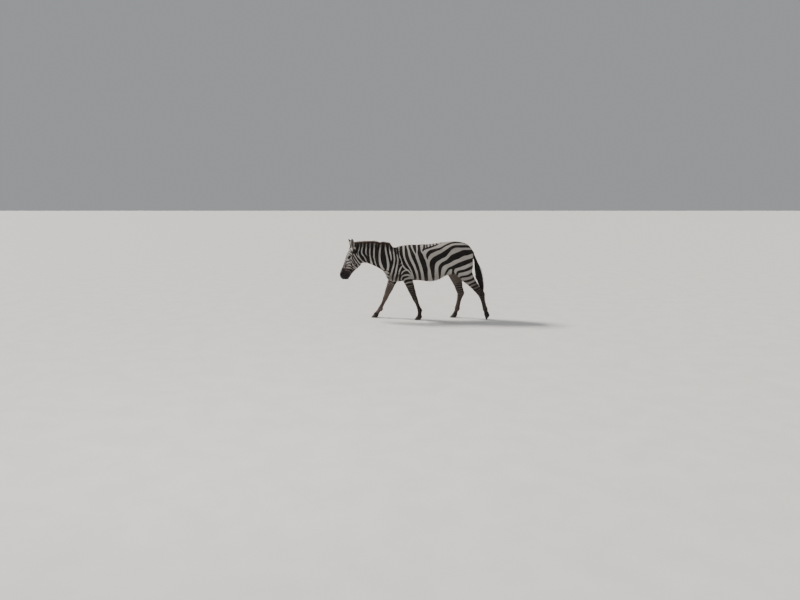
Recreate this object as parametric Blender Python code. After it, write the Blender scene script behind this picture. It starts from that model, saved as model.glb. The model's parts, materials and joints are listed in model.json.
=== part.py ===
"""A plains zebra, life size, walking to the left with its head low.

Metres, +Z up. The head points to -X and the left side faces -Y. The flesh is one closed form, lofted
from sections and fused, then parted with thin cuts where a person names the parts. Mane, tail, ears,
eyes and hooves are bodies of their own, fitted to the flesh with a hairline gap.
"""

import math

import bmesh
import bpy
from mathutils import Matrix, Vector

# Overall fit
STATURE = 1.005         # the heights of all stations are raised by this in the end
GAP = 0.0003            # clear space between neighbouring bodies
VOXEL = 0.006           # grain at which the lofts are fused
RING = 40               # points round a section of the flesh
HAIR_RING = 14          # points round a section of the mane and the tail
STEPS = 5               # sections from one station to the next

# Triangles left to each stretch of the flesh
HEAD_TRIANGLES = 1950
NECK_TRIANGLES = 500
TRUNK_TRIANGLES = 1500
LIMB_TRIANGLES = 2250

# Where the flesh is parted
HEAD_CUT = ((-1.030, 1.45), (-0.785, 0.66))     # slants from behind the ears to behind the jaw
NECK_CUT = ((-0.345, 1.45), (-0.528, 0.66))     # slants from the withers to the breast
FORELEG_CUT = 0.640                             # height of the cut across the forearm
HINDLEG_CUT = 0.715                             # height of the cut across the thigh
TAIL_CUT = 0.925                                # height where the long hair of the tail begins
REACH = 2.0                                     # a cutting block runs this far past the body

# Head carriage: the neck bends a little to the left
BEND_FROM = -0.50
BEND_TO = -0.98
HEAD_TURN = math.radians(6)

# Eyes
EYE_RADIUS = 0.0205
EYE_CENTRE = (-1.108, 1.086)
EYE_FROM_MIDLINE = 0.0835

# Hooves, measured on a level hoof from the middle of its coronet
HOOF_TOE = (-0.094, -0.055)
HOOF_HEEL = (0.018, -0.055)
CORONET_FRONT = (-0.040, 0.017)
CORONET_BACK = (0.040, -0.017)
SOLE_HALF_WIDTH = 0.047
CORONET_HALF_WIDTH = 0.039
HOOF_RING = 24
TOE_FLAT = 0.005        # how much of a tipped toe is worn flat

# Ears
EAR_LENGTH = 0.182
EAR_WALL = 0.006

# Sections across the spine, from the breast to the buttocks:
# x, top, bottom, half width, share of the height where it is widest, power above, power below
TRUNK = (
    (-0.475, 0.860, 0.735, 0.060, 0.50, 2.0, 2.0),
    (-0.440, 1.000, 0.680, 0.115, 0.45, 2.0, 2.0),      # breast
    (-0.360, 1.200, 0.650, 0.158, 0.42, 1.8, 2.0),      # points of the shoulders
    (-0.250, 1.278, 0.650, 0.178, 0.42, 1.6, 1.9),      # withers
    (-0.080, 1.303, 0.668, 0.196, 0.42, 1.7, 1.9),      # girth
    (0.100, 1.302, 0.672, 0.222, 0.42, 2.0, 2.0),
    (0.300, 1.312, 0.652, 0.240, 0.43, 2.1, 2.1),       # belly
    (0.450, 1.334, 0.684, 0.238, 0.46, 2.1, 2.1),
    (0.600, 1.348, 0.765, 0.222, 0.52, 2.1, 2.1),       # flank
    (0.760, 1.354, 0.790, 0.212, 0.55, 2.1, 2.1),       # croup
    (0.900, 1.326, 0.820, 0.186, 0.60, 2.1, 2.0),
    (0.985, 1.272, 0.900, 0.125, 0.62, 2.1, 2.0),
    (1.040, 1.185, 1.000, 0.055, 0.62, 2.0, 2.0),       # root of the tail
)

# Sections across the neck, from the poll to the shoulders:
# crest x and z, throat x and z, half width
NECK = (
    (-1.035, 1.255, -0.930, 1.020, 0.054),
    (-0.960, 1.268, -0.878, 0.975, 0.067),      # throat latch
    (-0.860, 1.268, -0.805, 0.966, 0.077),
    (-0.760, 1.272, -0.735, 0.944, 0.084),
    (-0.640, 1.276, -0.655, 0.905, 0.094),
    (-0.520, 1.278, -0.560, 0.858, 0.110),
    (-0.420, 1.272, -0.480, 0.790, 0.135),
    (-0.320, 1.262, -0.390, 0.740, 0.155),
)

# Sections across the head, from the poll to the lips:
# face x and z, jaw x and z, half width, share of the depth where it is widest, power face, power jaw
HEAD = (
    (-1.010, 1.290, -0.950, 1.150, 0.040, 0.60, 2.0, 2.0),
    (-1.062, 1.258, -0.915, 1.060, 0.066, 0.65, 2.2, 2.0),      # poll
    (-1.118, 1.190, -0.892, 0.990, 0.088, 0.66, 2.3, 1.7),      # forehead
    (-1.158, 1.105, -0.908, 0.938, 0.091, 0.66, 2.4, 1.7),      # eyes and angle of the jaw
    (-1.184, 1.030, -0.948, 0.898, 0.078, 0.64, 2.2, 1.8),
    (-1.207, 0.962, -0.995, 0.860, 0.062, 0.60, 2.0, 2.0),      # nose
    (-1.233, 0.900, -1.036, 0.820, 0.051, 0.55, 2.0, 2.1),
    (-1.260, 0.845, -1.070, 0.782, 0.050, 0.52, 2.2, 2.2),
    (-1.274, 0.790, -1.094, 0.744, 0.057, 0.50, 2.3, 2.3),      # nostrils
    (-1.268, 0.745, -1.118, 0.714, 0.056, 0.48, 2.3, 2.3),      # lips
    (-1.246, 0.708, -1.156, 0.694, 0.040, 0.48, 2.1, 2.1),
)

# Swellings on both sides that the lofts leave out:
# centre x, from midline, z, radii along x, y and z, lean in the side view in degrees
SWELLINGS = (
    (-1.102, 0.061, 1.100, 0.046, 0.035, 0.036, 20),        # brow over the eye
    (-0.982, 0.049, 1.006, 0.076, 0.036, 0.100, 30),        # cheek
    (-1.112, 0.045, 0.985, 0.026, 0.026, 0.115, 24),        # bone under the eye
    (-1.236, 0.031, 0.800, 0.036, 0.029, 0.050, 15),        # wing of the nostril
    (-1.142, 0.012, 0.722, 0.030, 0.026, 0.026, 0),         # chin
    (-0.300, 0.092, 0.990, 0.110, 0.090, 0.240, -24),       # shoulder blade
    (-0.352, 0.092, 0.815, 0.095, 0.076, 0.130, -20),       # point of the shoulder
    (-0.190, 0.105, 0.860, 0.130, 0.088, 0.140, 0),         # triceps
    (0.640, 0.108, 1.185, 0.110, 0.086, 0.088, 20),         # point of the hip
)

# Sections along a foreleg, by segment and share of it: ahead, behind, half width
FORELEG = (
    (0, 0.00, 0.120, 0.120, 0.050),
    (0, 0.60, 0.109, 0.114, 0.062),
    (1, 0.00, 0.095, 0.096, 0.066),     # elbow
    (1, 0.30, 0.078, 0.078, 0.058),     # forearm
    (1, 0.60, 0.064, 0.063, 0.047),
    (1, 0.86, 0.050, 0.047, 0.040),
    (2, 0.00, 0.049, 0.046, 0.043),     # knee
    (2, 0.18, 0.042, 0.042, 0.037),
    (2, 0.42, 0.032, 0.037, 0.028),     # cannon
    (2, 0.78, 0.032, 0.038, 0.029),
    (3, 0.00, 0.039, 0.046, 0.036),     # fetlock
    (3, 0.40, 0.034, 0.037, 0.031),     # pastern
    (3, 1.00, 0.041, 0.043, 0.038),     # coronet
    (3, 1.30, 0.045, 0.045, 0.040),
)

# Sections along a hind leg, by segment and share of it: ahead, behind, half width
HINDLEG = (
    (0, 0.00, 0.160, 0.190, 0.085),
    (0, 0.40, 0.195, 0.186, 0.108),     # thigh
    (0, 0.78, 0.172, 0.160, 0.098),
    (1, 0.00, 0.124, 0.145, 0.084),     # stifle
    (1, 0.25, 0.092, 0.116, 0.070),     # gaskin
    (1, 0.50, 0.070, 0.085, 0.055),
    (1, 0.78, 0.055, 0.066, 0.043),
    (2, 0.00, 0.055, 0.068, 0.042),     # hock
    (2, 0.20, 0.045, 0.052, 0.037),
    (2, 0.45, 0.036, 0.041, 0.030),     # cannon
    (2, 0.80, 0.036, 0.042, 0.030),
    (3, 0.00, 0.043, 0.049, 0.037),     # fetlock
    (3, 0.40, 0.035, 0.039, 0.032),     # pastern
    (3, 1.00, 0.041, 0.043, 0.038),     # coronet
    (3, 1.30, 0.045, 0.045, 0.040),
)

# The joints of each leg as it is set in the stride, x and z. The last is the middle of the coronet.
FORELEG_JOINTS = {
    "left": ((-0.180, 0.920), (-0.098, 0.720), (0.033, 0.378), (0.113, 0.168), (0.112, 0.055)),
    "right": ((-0.270, 0.920), (-0.338, 0.710), (-0.479, 0.358), (-0.578, 0.160), (-0.648, 0.055)),
}
HINDLEG_JOINTS = {
    "left": ((0.830, 1.130), (0.895, 0.780), (1.182, 0.442), (1.252, 0.186), (1.281, 0.104)),
    "right": ((0.800, 1.130), (0.728, 0.800), (0.843, 0.430), (0.786, 0.165), (0.750, 0.055)),
}
FORELEG_FROM_MIDLINE = (0.125, 0.128, 0.118, 0.112, 0.110)
HINDLEG_FROM_MIDLINE = (0.112, 0.118, 0.116, 0.112, 0.110)
# How much wider than the table a hind leg is from front to back: thigh, gaskin, cannon, pastern
HIND_BULK = {"left": (1.0, 1.0, 1.0, 1.0), "right": (1.06, 1.16, 1.06, 1.0)}
HOOF_PITCH = {
    ("fore", "left"): 0.0,
    ("fore", "right"): 0.0,
    ("hind", "left"): math.radians(55),     # rolled onto its toe
    ("hind", "right"): 0.0,
}

# Mane, from the forelock to the withers: x, height of its tips, height of its hidden foot
MANE = (
    (-1.104, 1.238, 1.200),
    (-1.090, 1.283, 1.205),
    (-1.045, 1.334, 1.225),
    (-0.975, 1.358, 1.240),
    (-0.780, 1.370, 1.240),
    (-0.657, 1.373, 1.245),
    (-0.570, 1.347, 1.245),
    (-0.523, 1.358, 1.245),
    (-0.425, 1.334, 1.240),
    (-0.388, 1.292, 1.235),
    (-0.372, 1.262, 1.235),
)
MANE_HALF_WIDTH = 0.021

# Tail, from its root down the dock and down the tuft: x, z, half depth, half width
TAIL = (
    (0.970, 1.215, 0.036, 0.036),
    (1.038, 1.152, 0.032, 0.033),
    (1.074, 1.060, 0.022, 0.026),
    (1.106, 0.975, 0.019, 0.023),
    (1.127, 0.920, 0.023, 0.025),
    (1.150, 0.860, 0.037, 0.032),
    (1.166, 0.778, 0.046, 0.037),
    (1.182, 0.695, 0.050, 0.040),
    (1.196, 0.600, 0.047, 0.039),
    (1.208, 0.520, 0.040, 0.034),
    (1.216, 0.455, 0.026, 0.022),
    (1.219, 0.425, 0.010, 0.009),
)

# Ears: share of the length, radius of the shell, half the angle that the shell wraps
EAR = (
    (0.00, 0.020, 150),
    (0.20, 0.027, 140),
    (0.42, 0.034, 118),
    (0.62, 0.034, 100),
    (0.80, 0.026, 84),
    (0.93, 0.014, 70),
    (1.00, 0.005, 60),
)
EAR_ROOT = (-1.030, 0.047, 1.215)
EAR_LEAN = {"left": (-10, 16), "right": (-17, 14)}      # forwards and outwards, in degrees
EAR_FACES = {"left": 62, "right": 40}                   # how far each opening turns from the front
EAR_ARC = 8                                             # points along the shell

# Finishes: colour, roughness
COAT = ((0.42, 0.41, 0.40), 0.80)
HAIR = ((0.035, 0.028, 0.024), 0.75)
HORN = ((0.055, 0.048, 0.043), 0.45)
EYE = ((0.012, 0.008, 0.006), 0.08)


def spline(rows, steps=STEPS):
    """Rows of numbers joined by a smooth curve that passes through each of them."""
    smooth = []
    for i in range(len(rows) - 1):
        before = rows[max(i - 1, 0)]
        after = rows[min(i + 2, len(rows) - 1)]
        for step in range(steps):
            t = step / steps
            smooth.append([
                b + 0.5 * t * (c - a + t * (2 * a - 5 * b + 4 * c - d + t * (3 * (b - c) + d - a)))
                for a, b, c, d in zip(before, rows[i], rows[i + 1], after)
            ])
    smooth.append(list(rows[-1]))
    return smooth


def section(top, bottom, half_width, offset=0.0, widest=0.5, power_top=2.0, power_bottom=2.0,
            count=RING):
    """A closed ring round from its top point to its bottom point, both (x, z) in the side view."""
    top, bottom = Vector(top), Vector(bottom)
    middle = bottom.lerp(top, widest)
    points = []
    for i in range(count):
        turn = 2 * math.pi * i / count
        up, out = math.cos(turn), math.sin(turn)
        end, power = (top, power_top) if up > 0 else (bottom, power_bottom)
        point = middle.lerp(end, abs(up) ** (2 / power))
        side = math.copysign(abs(out) ** (2 / power), out) * half_width
        points.append(Vector((point.x, offset + side, point.y)))
    return points


def body(name, mesh):
    """A bmesh made into an object of the scene, with its faces turned outwards."""
    bmesh.ops.recalc_face_normals(mesh, faces=mesh.faces)
    data = bpy.data.meshes.new(name)
    mesh.to_mesh(data)
    mesh.free()
    made = bpy.data.objects.new(name, data)
    bpy.context.scene.collection.objects.link(made)
    return made


def loft(name, rings):
    """A closed body skinned over rings of equal length, with a flat cap on each end."""
    mesh = bmesh.new()
    rows = [[mesh.verts.new(point) for point in ring] for ring in rings]
    count = len(rows[0])
    for low, high in zip(rows, rows[1:]):
        for i in range(count):
            mesh.faces.new((low[i], low[(i + 1) % count], high[(i + 1) % count], high[i]))
    mesh.faces.new(reversed(rows[0]))
    mesh.faces.new(rows[-1])
    return body(name, mesh)


def ellipsoid(name, centre, radii, lean=0.0, segments=24):
    mesh = bmesh.new()
    place = Matrix.Translation(centre) @ Matrix.Rotation(math.radians(lean), 4, "Y")
    place = place @ Matrix.Diagonal((*radii, 1.0))
    bmesh.ops.create_uvsphere(mesh, u_segments=segments, v_segments=segments // 2, radius=1, matrix=place)
    return body(name, mesh)


def prism(outline, near, far):
    """A cutting block: an outline of the side view, carried from one y to another."""
    rings = [[Vector((x, y, z)) for x, z in outline] for y in (near, far)]
    return loft("cutter", rings)


def apply(made, kind, **settings):
    modifier = made.modifiers.new(kind.title(), kind)
    for key, value in settings.items():
        setattr(modifier, key, value)
    with bpy.context.temp_override(object=made, active_object=made):
        bpy.ops.object.modifier_apply(modifier=modifier.name)


def remove(made):
    bpy.data.objects.remove(made, do_unlink=True)


def copy_of(made, name):
    double = bpy.data.objects.new(name, made.data.copy())
    bpy.context.scene.collection.objects.link(double)
    return double


def cut(made, cutter, operation="DIFFERENCE"):
    """Takes the cutter away from a body, or keeps only what is inside it, and removes the cutter."""
    apply(made, "BOOLEAN", object=cutter, operation=operation, solver="EXACT")
    remove(cutter)


def parted(whole, name, outline, near, far, shift):
    """Takes one piece off the whole. The shift, (x, z), leaves the hairline gap beside the cut."""
    piece = copy_of(whole, name)
    cut(piece, prism(outline, near, far), "INTERSECT")
    wider = [(x + shift[0], z + shift[1]) for x, z in outline]
    cut(whole, prism(wider, near, far))
    return piece


def grown(made):
    """A copy of a body, larger all round by a little more than the gap."""
    double = copy_of(made, "grown")
    apply(double, "DISPLACE", strength=1.5 * GAP, mid_level=0.0)
    return double


def bent(made):
    """Bends the neck to the left, with all that the head carries."""
    length = BEND_FROM - BEND_TO
    for vertex in made.data.vertices:
        x, y, z = vertex.co
        if x >= BEND_FROM:
            continue
        share = min((BEND_FROM - x) / length, 1.0)
        angle = HEAD_TURN * share * share * (3 - 2 * share)
        swing = HEAD_TURN * length * (share ** 3 - share ** 4 / 2)
        beyond = max(BEND_TO - x, 0.0)
        vertex.co.x = x - y * math.sin(angle) + beyond * (1 - math.cos(angle))
        vertex.co.y = y * math.cos(angle) - swing - beyond * math.sin(angle)
    return made


def trunk():
    rings = [
        section((x, top), (x, bottom), half, 0.0, widest, above, below)
        for x, top, bottom, half, widest, above, below in spline(TRUNK)
    ]
    return loft("trunk loft", rings)


def neck():
    rings = [
        section((cx, cz), (tx, tz), half, 0.0, 0.45, 1.7, 1.9)
        for cx, cz, tx, tz, half in spline(NECK)
    ]
    return loft("neck loft", rings)


def head():
    rings = [
        section((fx, fz), (jx, jz), half, 0.0, widest, face, jaw)
        for fx, fz, jx, jz, half, widest, face, jaw in spline(HEAD)
    ]
    return loft("head loft", rings)


def swellings():
    return [
        ellipsoid("swelling", (x, side * y, z), (long, wide, high), lean)
        for x, y, z, long, wide, high, lean in SWELLINGS
        for side in (-1, 1)
    ]


def leg(side, joints, from_midline, sections, bulk=(1.0, 1.0, 1.0, 1.0)):
    """A leg lofted down its joints. Each section stands square to the way the leg runs there."""
    rows = []
    ends = [Vector(joint) for joint in joints]
    for segment, share, ahead, behind, half in sections:
        run = ends[segment + 1] - ends[segment]
        centre = ends[segment] + run * share
        way = run.normalized()
        if share == 0 and segment > 0:
            way += (ends[segment] - ends[segment - 1]).normalized()
            way.normalize()
        forward = Vector((way.y, -way.x))
        front = centre + forward * ahead * bulk[segment]
        back = centre - forward * behind * bulk[segment]
        out = from_midline[segment] + (from_midline[segment + 1] - from_midline[segment]) * share
        rows.append((front.x, front.y, back.x, back.y, out, half))
    rings = [
        section((fx, fz), (bx, bz), half, SIDES[side] * out, 0.5, 2.1, 2.1)
        for fx, fz, bx, bz, out, half in spline(rows, 4)
    ]
    return loft("leg loft", rings)


def fused(name, pieces):
    """The pieces as one closed body, with one even grain all over."""
    mesh = bmesh.new()
    for piece in pieces:
        mesh.from_mesh(piece.data)
        remove(piece)
    whole = body(name, mesh)
    apply(whole, "REMESH", mode="VOXEL", voxel_size=VOXEL)
    return whole


def flesh():
    """Head, neck, trunk and legs as one closed form, with the creases between them eased."""
    pieces = [trunk(), neck(), head(), *swellings()]
    for side in SIDES:
        pieces.append(leg(side, FORELEG_JOINTS[side], FORELEG_FROM_MIDLINE, FORELEG))
        pieces.append(leg(side, HINDLEG_JOINTS[side], HINDLEG_FROM_MIDLINE, HINDLEG, HIND_BULK[side]))
    whole = fused("flesh", pieces)
    broad = [v.index for v in whole.data.vertices if v.co.x > -0.86 and v.co.z > 0.52]
    whole.vertex_groups.new(name="broad").add(broad, 1.0, "REPLACE")
    apply(whole, "SMOOTH", factor=0.6, iterations=110, vertex_group="broad")
    apply(whole, "SMOOTH", factor=0.5, iterations=14)
    return bent(whole)


def thin_out(whole):
    """Leaves the flesh fewer triangles, most of them on the head and the legs."""
    stretches = (
        (HEAD_TRIANGLES, lambda c: c.x < -0.90 and c.z > 0.64),
        (NECK_TRIANGLES, lambda c: -0.90 <= c.x < -0.45 and c.z > 0.64),
        (TRUNK_TRIANGLES, lambda c: c.x >= -0.45 and c.z > 0.64),
        (LIMB_TRIANGLES, lambda c: c.z <= 0.64),
    )
    apply(whole, "TRIANGULATE")
    bpy.context.view_layer.objects.active = whole
    for wanted, inside in stretches:
        bpy.ops.object.mode_set(mode="EDIT")
        bpy.ops.mesh.select_mode(type="FACE")
        bpy.ops.mesh.select_all(action="DESELECT")
        bpy.ops.object.mode_set(mode="OBJECT")
        chosen = [inside(face.center) for face in whole.data.polygons]
        whole.data.polygons.foreach_set("select", chosen)
        bpy.ops.object.mode_set(mode="EDIT")
        bpy.ops.mesh.decimate(ratio=wanted / sum(chosen))
        bpy.ops.object.mode_set(mode="OBJECT")


def mane():
    rings = [
        section((x, tips), (x, foot), MANE_HALF_WIDTH, 0.0, 0.4, 1.6, 2.0, HAIR_RING)
        for x, tips, foot in spline(MANE, 2)
    ]
    return bent(loft("mane", rings))


def tail():
    """The tail down to its tip, each section square to the way it hangs."""
    smooth = spline(TAIL, 2)
    rings = []
    for i, (x, z, depth, half) in enumerate(smooth):
        ahead, behind = smooth[min(i + 1, len(smooth) - 1)], smooth[max(i - 1, 0)]
        way = Vector((ahead[0] - behind[0], ahead[1] - behind[1])).normalized()
        across = Vector((way.y, -way.x)) * depth
        top, bottom = (x + across.x, z + across.y), (x - across.x, z - across.y)
        rings.append(section(top, bottom, half, count=HAIR_RING))
    return loft("tail", rings)


def ear(side):
    """A shell wrapped round the ear's length and open to one side."""
    rings = []
    for share, radius, wrap in spline(EAR, 2):
        wrap = math.radians(wrap)
        wall = min(EAR_WALL, 0.6 * radius)
        ring = []
        for reach, way in ((radius, 1), (radius - wall, -1)):
            for i in range(EAR_ARC):
                turn = way * wrap * (2 * i / (EAR_ARC - 1) - 1)
                ring.append(Vector((reach * math.cos(turn), reach * math.sin(turn), share * EAR_LENGTH)))
        rings.append(ring)
    made = loft("ear_" + side, rings)
    forwards, outwards = (math.radians(angle) for angle in EAR_LEAN[side])
    x, y, z = EAR_ROOT
    place = Matrix.Translation((x, SIDES[side] * y, z))
    place = place @ Matrix.Rotation(-SIDES[side] * outwards, 4, "X") @ Matrix.Rotation(forwards, 4, "Y")
    place = place @ Matrix.Rotation(-SIDES[side] * math.radians(EAR_FACES[side]), 4, "Z")
    made.data.transform(place)
    return bent(made)


def eye(side):
    x, z = EYE_CENTRE
    return bent(ellipsoid("eye_" + side, (x, SIDES[side] * EYE_FROM_MIDLINE, z), [EYE_RADIUS] * 3, 0, 16))


def hoof_edge(front, back, half_width, square):
    """One edge of the hoof, round at the toe and straighter along the heels."""
    points = []
    for i in range(HOOF_RING):
        turn = 2 * math.pi * i / HOOF_RING
        ahead, out = math.cos(turn), math.sin(turn)
        power = 2.0 if ahead > 0 else square
        share = 0.5 + 0.5 * math.copysign(abs(ahead) ** (2 / power), ahead)
        x = back[0] + (front[0] - back[0]) * share
        z = back[1] + (front[1] - back[1]) * share
        points.append(Vector((x, math.copysign(abs(out) ** (2 / power), out) * half_width, z)))
    return points


def hoof(name, x, y, pitch):
    """A horn case with a flat to stand on, and where the middle of its coronet came to be."""
    sole = hoof_edge(HOOF_TOE, HOOF_HEEL, SOLE_HALF_WIDTH, 3.0)
    coronet = hoof_edge(CORONET_FRONT, CORONET_BACK, CORONET_HALF_WIDTH, 2.4)
    turn = Matrix.Rotation(-pitch, 4, "Y")
    lowest = min((turn @ point).z for point in sole)
    height = -lowest - (TOE_FLAT if pitch else 0.0)
    place = Matrix.Translation((x, y, height)) @ turn
    made = loft(name, [sole, coronet])
    made.data.transform(place)
    if pitch:
        cut(made, prism(((-REACH, 0), (REACH, 0), (REACH, -1), (-REACH, -1)), -REACH, REACH))
    return made, place


def coronet_block(place, y):
    """The block under a coronet, which takes the end off the leg and leaves the gap over the horn."""
    front, back = Vector((*CORONET_FRONT, 0)), Vector((*CORONET_BACK, 0))
    along = (back - front).normalized()
    up = Vector((-along.y, along.x, 0))
    if up.y < 0:
        up = -up
    corners = (up * GAP - along * 0.10, up * GAP + along * 0.10, along * 0.10 - up * 0.12, -along * 0.10 - up * 0.12)
    world = [place @ Vector((corner.x, 0.0, corner.y)) for corner in corners]
    return prism([(point.x, point.z) for point in world], y - 0.08, y + 0.08)


def finish(made, name, kind):
    """Names a body and gives it its material."""
    made.name = name
    made.data.name = name
    made.vertex_groups.clear()
    (red, green, blue), roughness = kind
    material = bpy.data.materials.new(name)
    material.use_nodes = True
    shader = material.node_tree.nodes["Principled BSDF"]
    shader.inputs["Base Color"].default_value = (red, green, blue, 1.0)
    shader.inputs["Roughness"].default_value = roughness
    made.data.materials.clear()
    made.data.materials.append(material)
    made.data.shade_smooth()
    made.data.set_sharp_from_angle(angle=math.radians(60))


def centre(everything):
    """Brings the middle of the whole to the origin, with the flats at height 0, and gives it its stature."""
    points = [vertex.co for made in everything for vertex in made.data.vertices]
    middle = [(min(p[i] for p in points) + max(p[i] for p in points)) / 2 for i in (0, 1)]
    for made in everything:
        place = Matrix.Translation((-middle[0], -middle[1], 0.0)) @ Matrix.Diagonal((1, 1, STATURE, 1))
        made.data.transform(place)


def build():
    whole = flesh()
    hooves = {}
    for kind, joints, outs in (
        ("fore", FORELEG_JOINTS, FORELEG_FROM_MIDLINE),
        ("hind", HINDLEG_JOINTS, HINDLEG_FROM_MIDLINE),
    ):
        for side in SIDES:
            y = SIDES[side] * outs[-1]
            name = f"hoof_{kind}_{side}"
            hooves[name], place = hoof(name, joints[side][-1][0], y, HOOF_PITCH[kind, side])
            cut(whole, coronet_block(place, y))
    thin_out(whole)

    fitted = {"mane": mane(), "tail": tail()}
    for side in SIDES:
        fitted["ear_" + side] = ear(side)
    for piece in fitted.values():
        cut(piece, grown(whole))
    below = ((-REACH, TAIL_CUT), (REACH, TAIL_CUT), (REACH, -REACH), (-REACH, -REACH))
    tuft = parted(fitted["tail"], "tail_tuft", below, -REACH, REACH, (0.0, GAP))

    (top_x, top_z), (low_x, low_z) = HEAD_CUT
    face_block = ((top_x, top_z), (low_x, low_z), (-REACH, low_z), (-REACH, top_z))
    parts = {"head": parted(whole, "head", face_block, -REACH, REACH, (1.1 * GAP, 0.0))}
    (top_x, top_z), (low_x, low_z) = NECK_CUT
    neck_block = ((top_x, top_z), (low_x, low_z), (-REACH, low_z), (-REACH, top_z))
    parts["neck"] = parted(whole, "neck", neck_block, -REACH, REACH, (1.1 * GAP, 0.0))
    for kind, height, front, back in (
        ("foreleg", FORELEG_CUT, -0.90, 0.30),
        ("hindleg", HINDLEG_CUT, 0.60, 1.50),
    ):
        leg_block = ((front, height), (back, height), (back, -1.0), (front, -1.0))
        for side, sign in SIDES.items():
            near, far = sorted((sign * 0.0005, sign * REACH))
            name = f"{kind}_{side}"
            parts[name] = parted(whole, name, leg_block, near, far, (0.0, GAP))
    parts["trunk"] = whole

    eyes = {}
    for side in SIDES:
        eyes["eye_" + side] = eye(side)
        socket = copy_of(eyes["eye_" + side], "socket")
        apply(socket, "DISPLACE", strength=GAP, mid_level=0.0)
        cut(parts["head"], socket)

    for group, finish_kind in (
        (parts, COAT),
        ({name: fitted[name] for name in ("ear_left", "ear_right", "tail")}, COAT),
        ({"mane": fitted["mane"], "tail_tuft": tuft}, HAIR),
        (hooves, HORN),
        (eyes, EYE),
    ):
        for name, made in group.items():
            finish(made, name, finish_kind)
    centre([*parts.values(), *fitted.values(), tuft, *hooves.values(), *eyes.values()])


SIDES = {"left": -1, "right": 1}

for old in list(bpy.data.objects):
    bpy.data.objects.remove(old, do_unlink=True)
build()
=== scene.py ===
"""A plains zebra, life size, walking with its head low: hide, coat, mane, tail, eyes and hooves.

Metres, +Z up. The head points to -X and the left side faces -Y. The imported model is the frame, and
each piece here stands in for the solids that it is made from.
"""

import contextlib
import json
import math

import bpy
import mathutils
import mathutils.bvhtree
import numpy as np
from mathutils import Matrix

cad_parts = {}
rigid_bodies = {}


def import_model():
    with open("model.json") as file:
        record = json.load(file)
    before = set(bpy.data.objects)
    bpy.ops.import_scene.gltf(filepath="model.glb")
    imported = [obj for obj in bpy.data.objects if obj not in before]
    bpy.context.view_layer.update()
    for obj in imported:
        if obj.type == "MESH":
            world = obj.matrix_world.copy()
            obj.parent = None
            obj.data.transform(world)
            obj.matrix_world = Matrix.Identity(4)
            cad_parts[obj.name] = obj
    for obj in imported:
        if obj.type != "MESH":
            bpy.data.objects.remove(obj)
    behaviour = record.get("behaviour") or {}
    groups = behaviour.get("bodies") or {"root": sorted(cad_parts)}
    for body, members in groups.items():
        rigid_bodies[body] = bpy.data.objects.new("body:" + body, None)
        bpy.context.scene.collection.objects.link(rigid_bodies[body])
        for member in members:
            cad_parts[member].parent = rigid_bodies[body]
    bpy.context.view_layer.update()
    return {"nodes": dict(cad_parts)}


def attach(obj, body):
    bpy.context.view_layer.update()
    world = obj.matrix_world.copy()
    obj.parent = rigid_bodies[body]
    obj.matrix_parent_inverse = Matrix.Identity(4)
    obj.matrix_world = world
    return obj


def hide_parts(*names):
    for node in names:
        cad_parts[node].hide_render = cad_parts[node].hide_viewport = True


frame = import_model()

for extra in [o for o in bpy.data.objects if o.name in ("Cube", "Light", "Camera")]:
    bpy.data.objects.remove(extra)

# ------------------------------------------------------------
# Hide. One closed skin over head, neck, trunk, legs, tail and ears, with no seam. It is drawn from
# the solids of flesh, evened out, sunk by the depth of the coat, and then worked like a taxidermist
# works clay: muscle furrows, lids, nostrils and mouth are pressed into it.

FLESH = ("head", "neck", "trunk", "tail", "foreleg_left", "foreleg_right", "hindleg_left", "hindleg_right")
EYES = ("eye_left", "eye_right")
EARS = ("ear_left", "ear_right")
SIDES = {"left": -1, "right": 1}            # which way each side lies along Y

GRAIN = 0.0066              # spacing of the points of the hide before the face is made finer
ROUGHNESS = 0.0009          # how far the points are stirred before trunk and neck lose faces
BODY_SHARE = 0.28           # share of the faces that trunk and neck keep
SEAM = 0.0007               # the solids grow by this much, so that the hairline cuts close
SIDE_ORIGIN = 0.0295        # places in the side view count x from a point this far ahead of the frame's
STATURE = 1.005             # heights in the side view are the frame's divided by this
LEGS_ONLY = 0.66            # below this height the hide is only legs
SEWN = 0.00001              # corners of a copied solid nearer than this are one


def deselect():
    bpy.ops.object.select_all(action="DESELECT")


def activate(piece):
    deselect()
    piece.select_set(True)
    bpy.context.view_layer.objects.active = piece


def applied(piece, kind, **settings):
    """Adds a modifier with the given settings and applies it."""
    activate(piece)
    modifier = piece.modifiers.new(kind.title(), kind)
    for key, value in settings.items():
        setattr(modifier, key, value)
    bpy.ops.object.modifier_apply(modifier=modifier.name)


@contextlib.contextmanager
def edit_mode():
    """The steps inside it are done in edit mode."""
    bpy.ops.object.mode_set(mode="EDIT")
    yield
    bpy.ops.object.mode_set(mode="OBJECT")


def new_object(name, mesh):
    piece = bpy.data.objects.new(name, mesh)
    bpy.context.scene.collection.objects.link(piece)
    return piece


def copy_of_node(node):
    """A node's solid as a new object, its loose triangles sewn together."""
    piece = new_object(node + "_copy", frame["nodes"][node].data.copy())
    activate(piece)
    with edit_mode():
        bpy.ops.mesh.select_all(action="SELECT")
        bpy.ops.mesh.remove_doubles(threshold=SEWN)
    return piece


def select_only(piece, wanted, kind="FACE"):
    """Leaves exactly the faces, or the vertices, of the mask selected."""
    activate(piece)
    with edit_mode():
        bpy.ops.mesh.select_mode(type=kind)
        bpy.ops.mesh.select_all(action="DESELECT")
    items = piece.data.polygons if kind == "FACE" else piece.data.vertices
    items.foreach_set("select", np.ascontiguousarray(wanted))


def face_outwards(piece):
    """Turns every face of a closed shell outwards, and leaves them all selected."""
    activate(piece)
    with edit_mode():
        bpy.ops.mesh.select_all(action="SELECT")
        bpy.ops.mesh.normals_make_consistent(inside=False)


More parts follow.
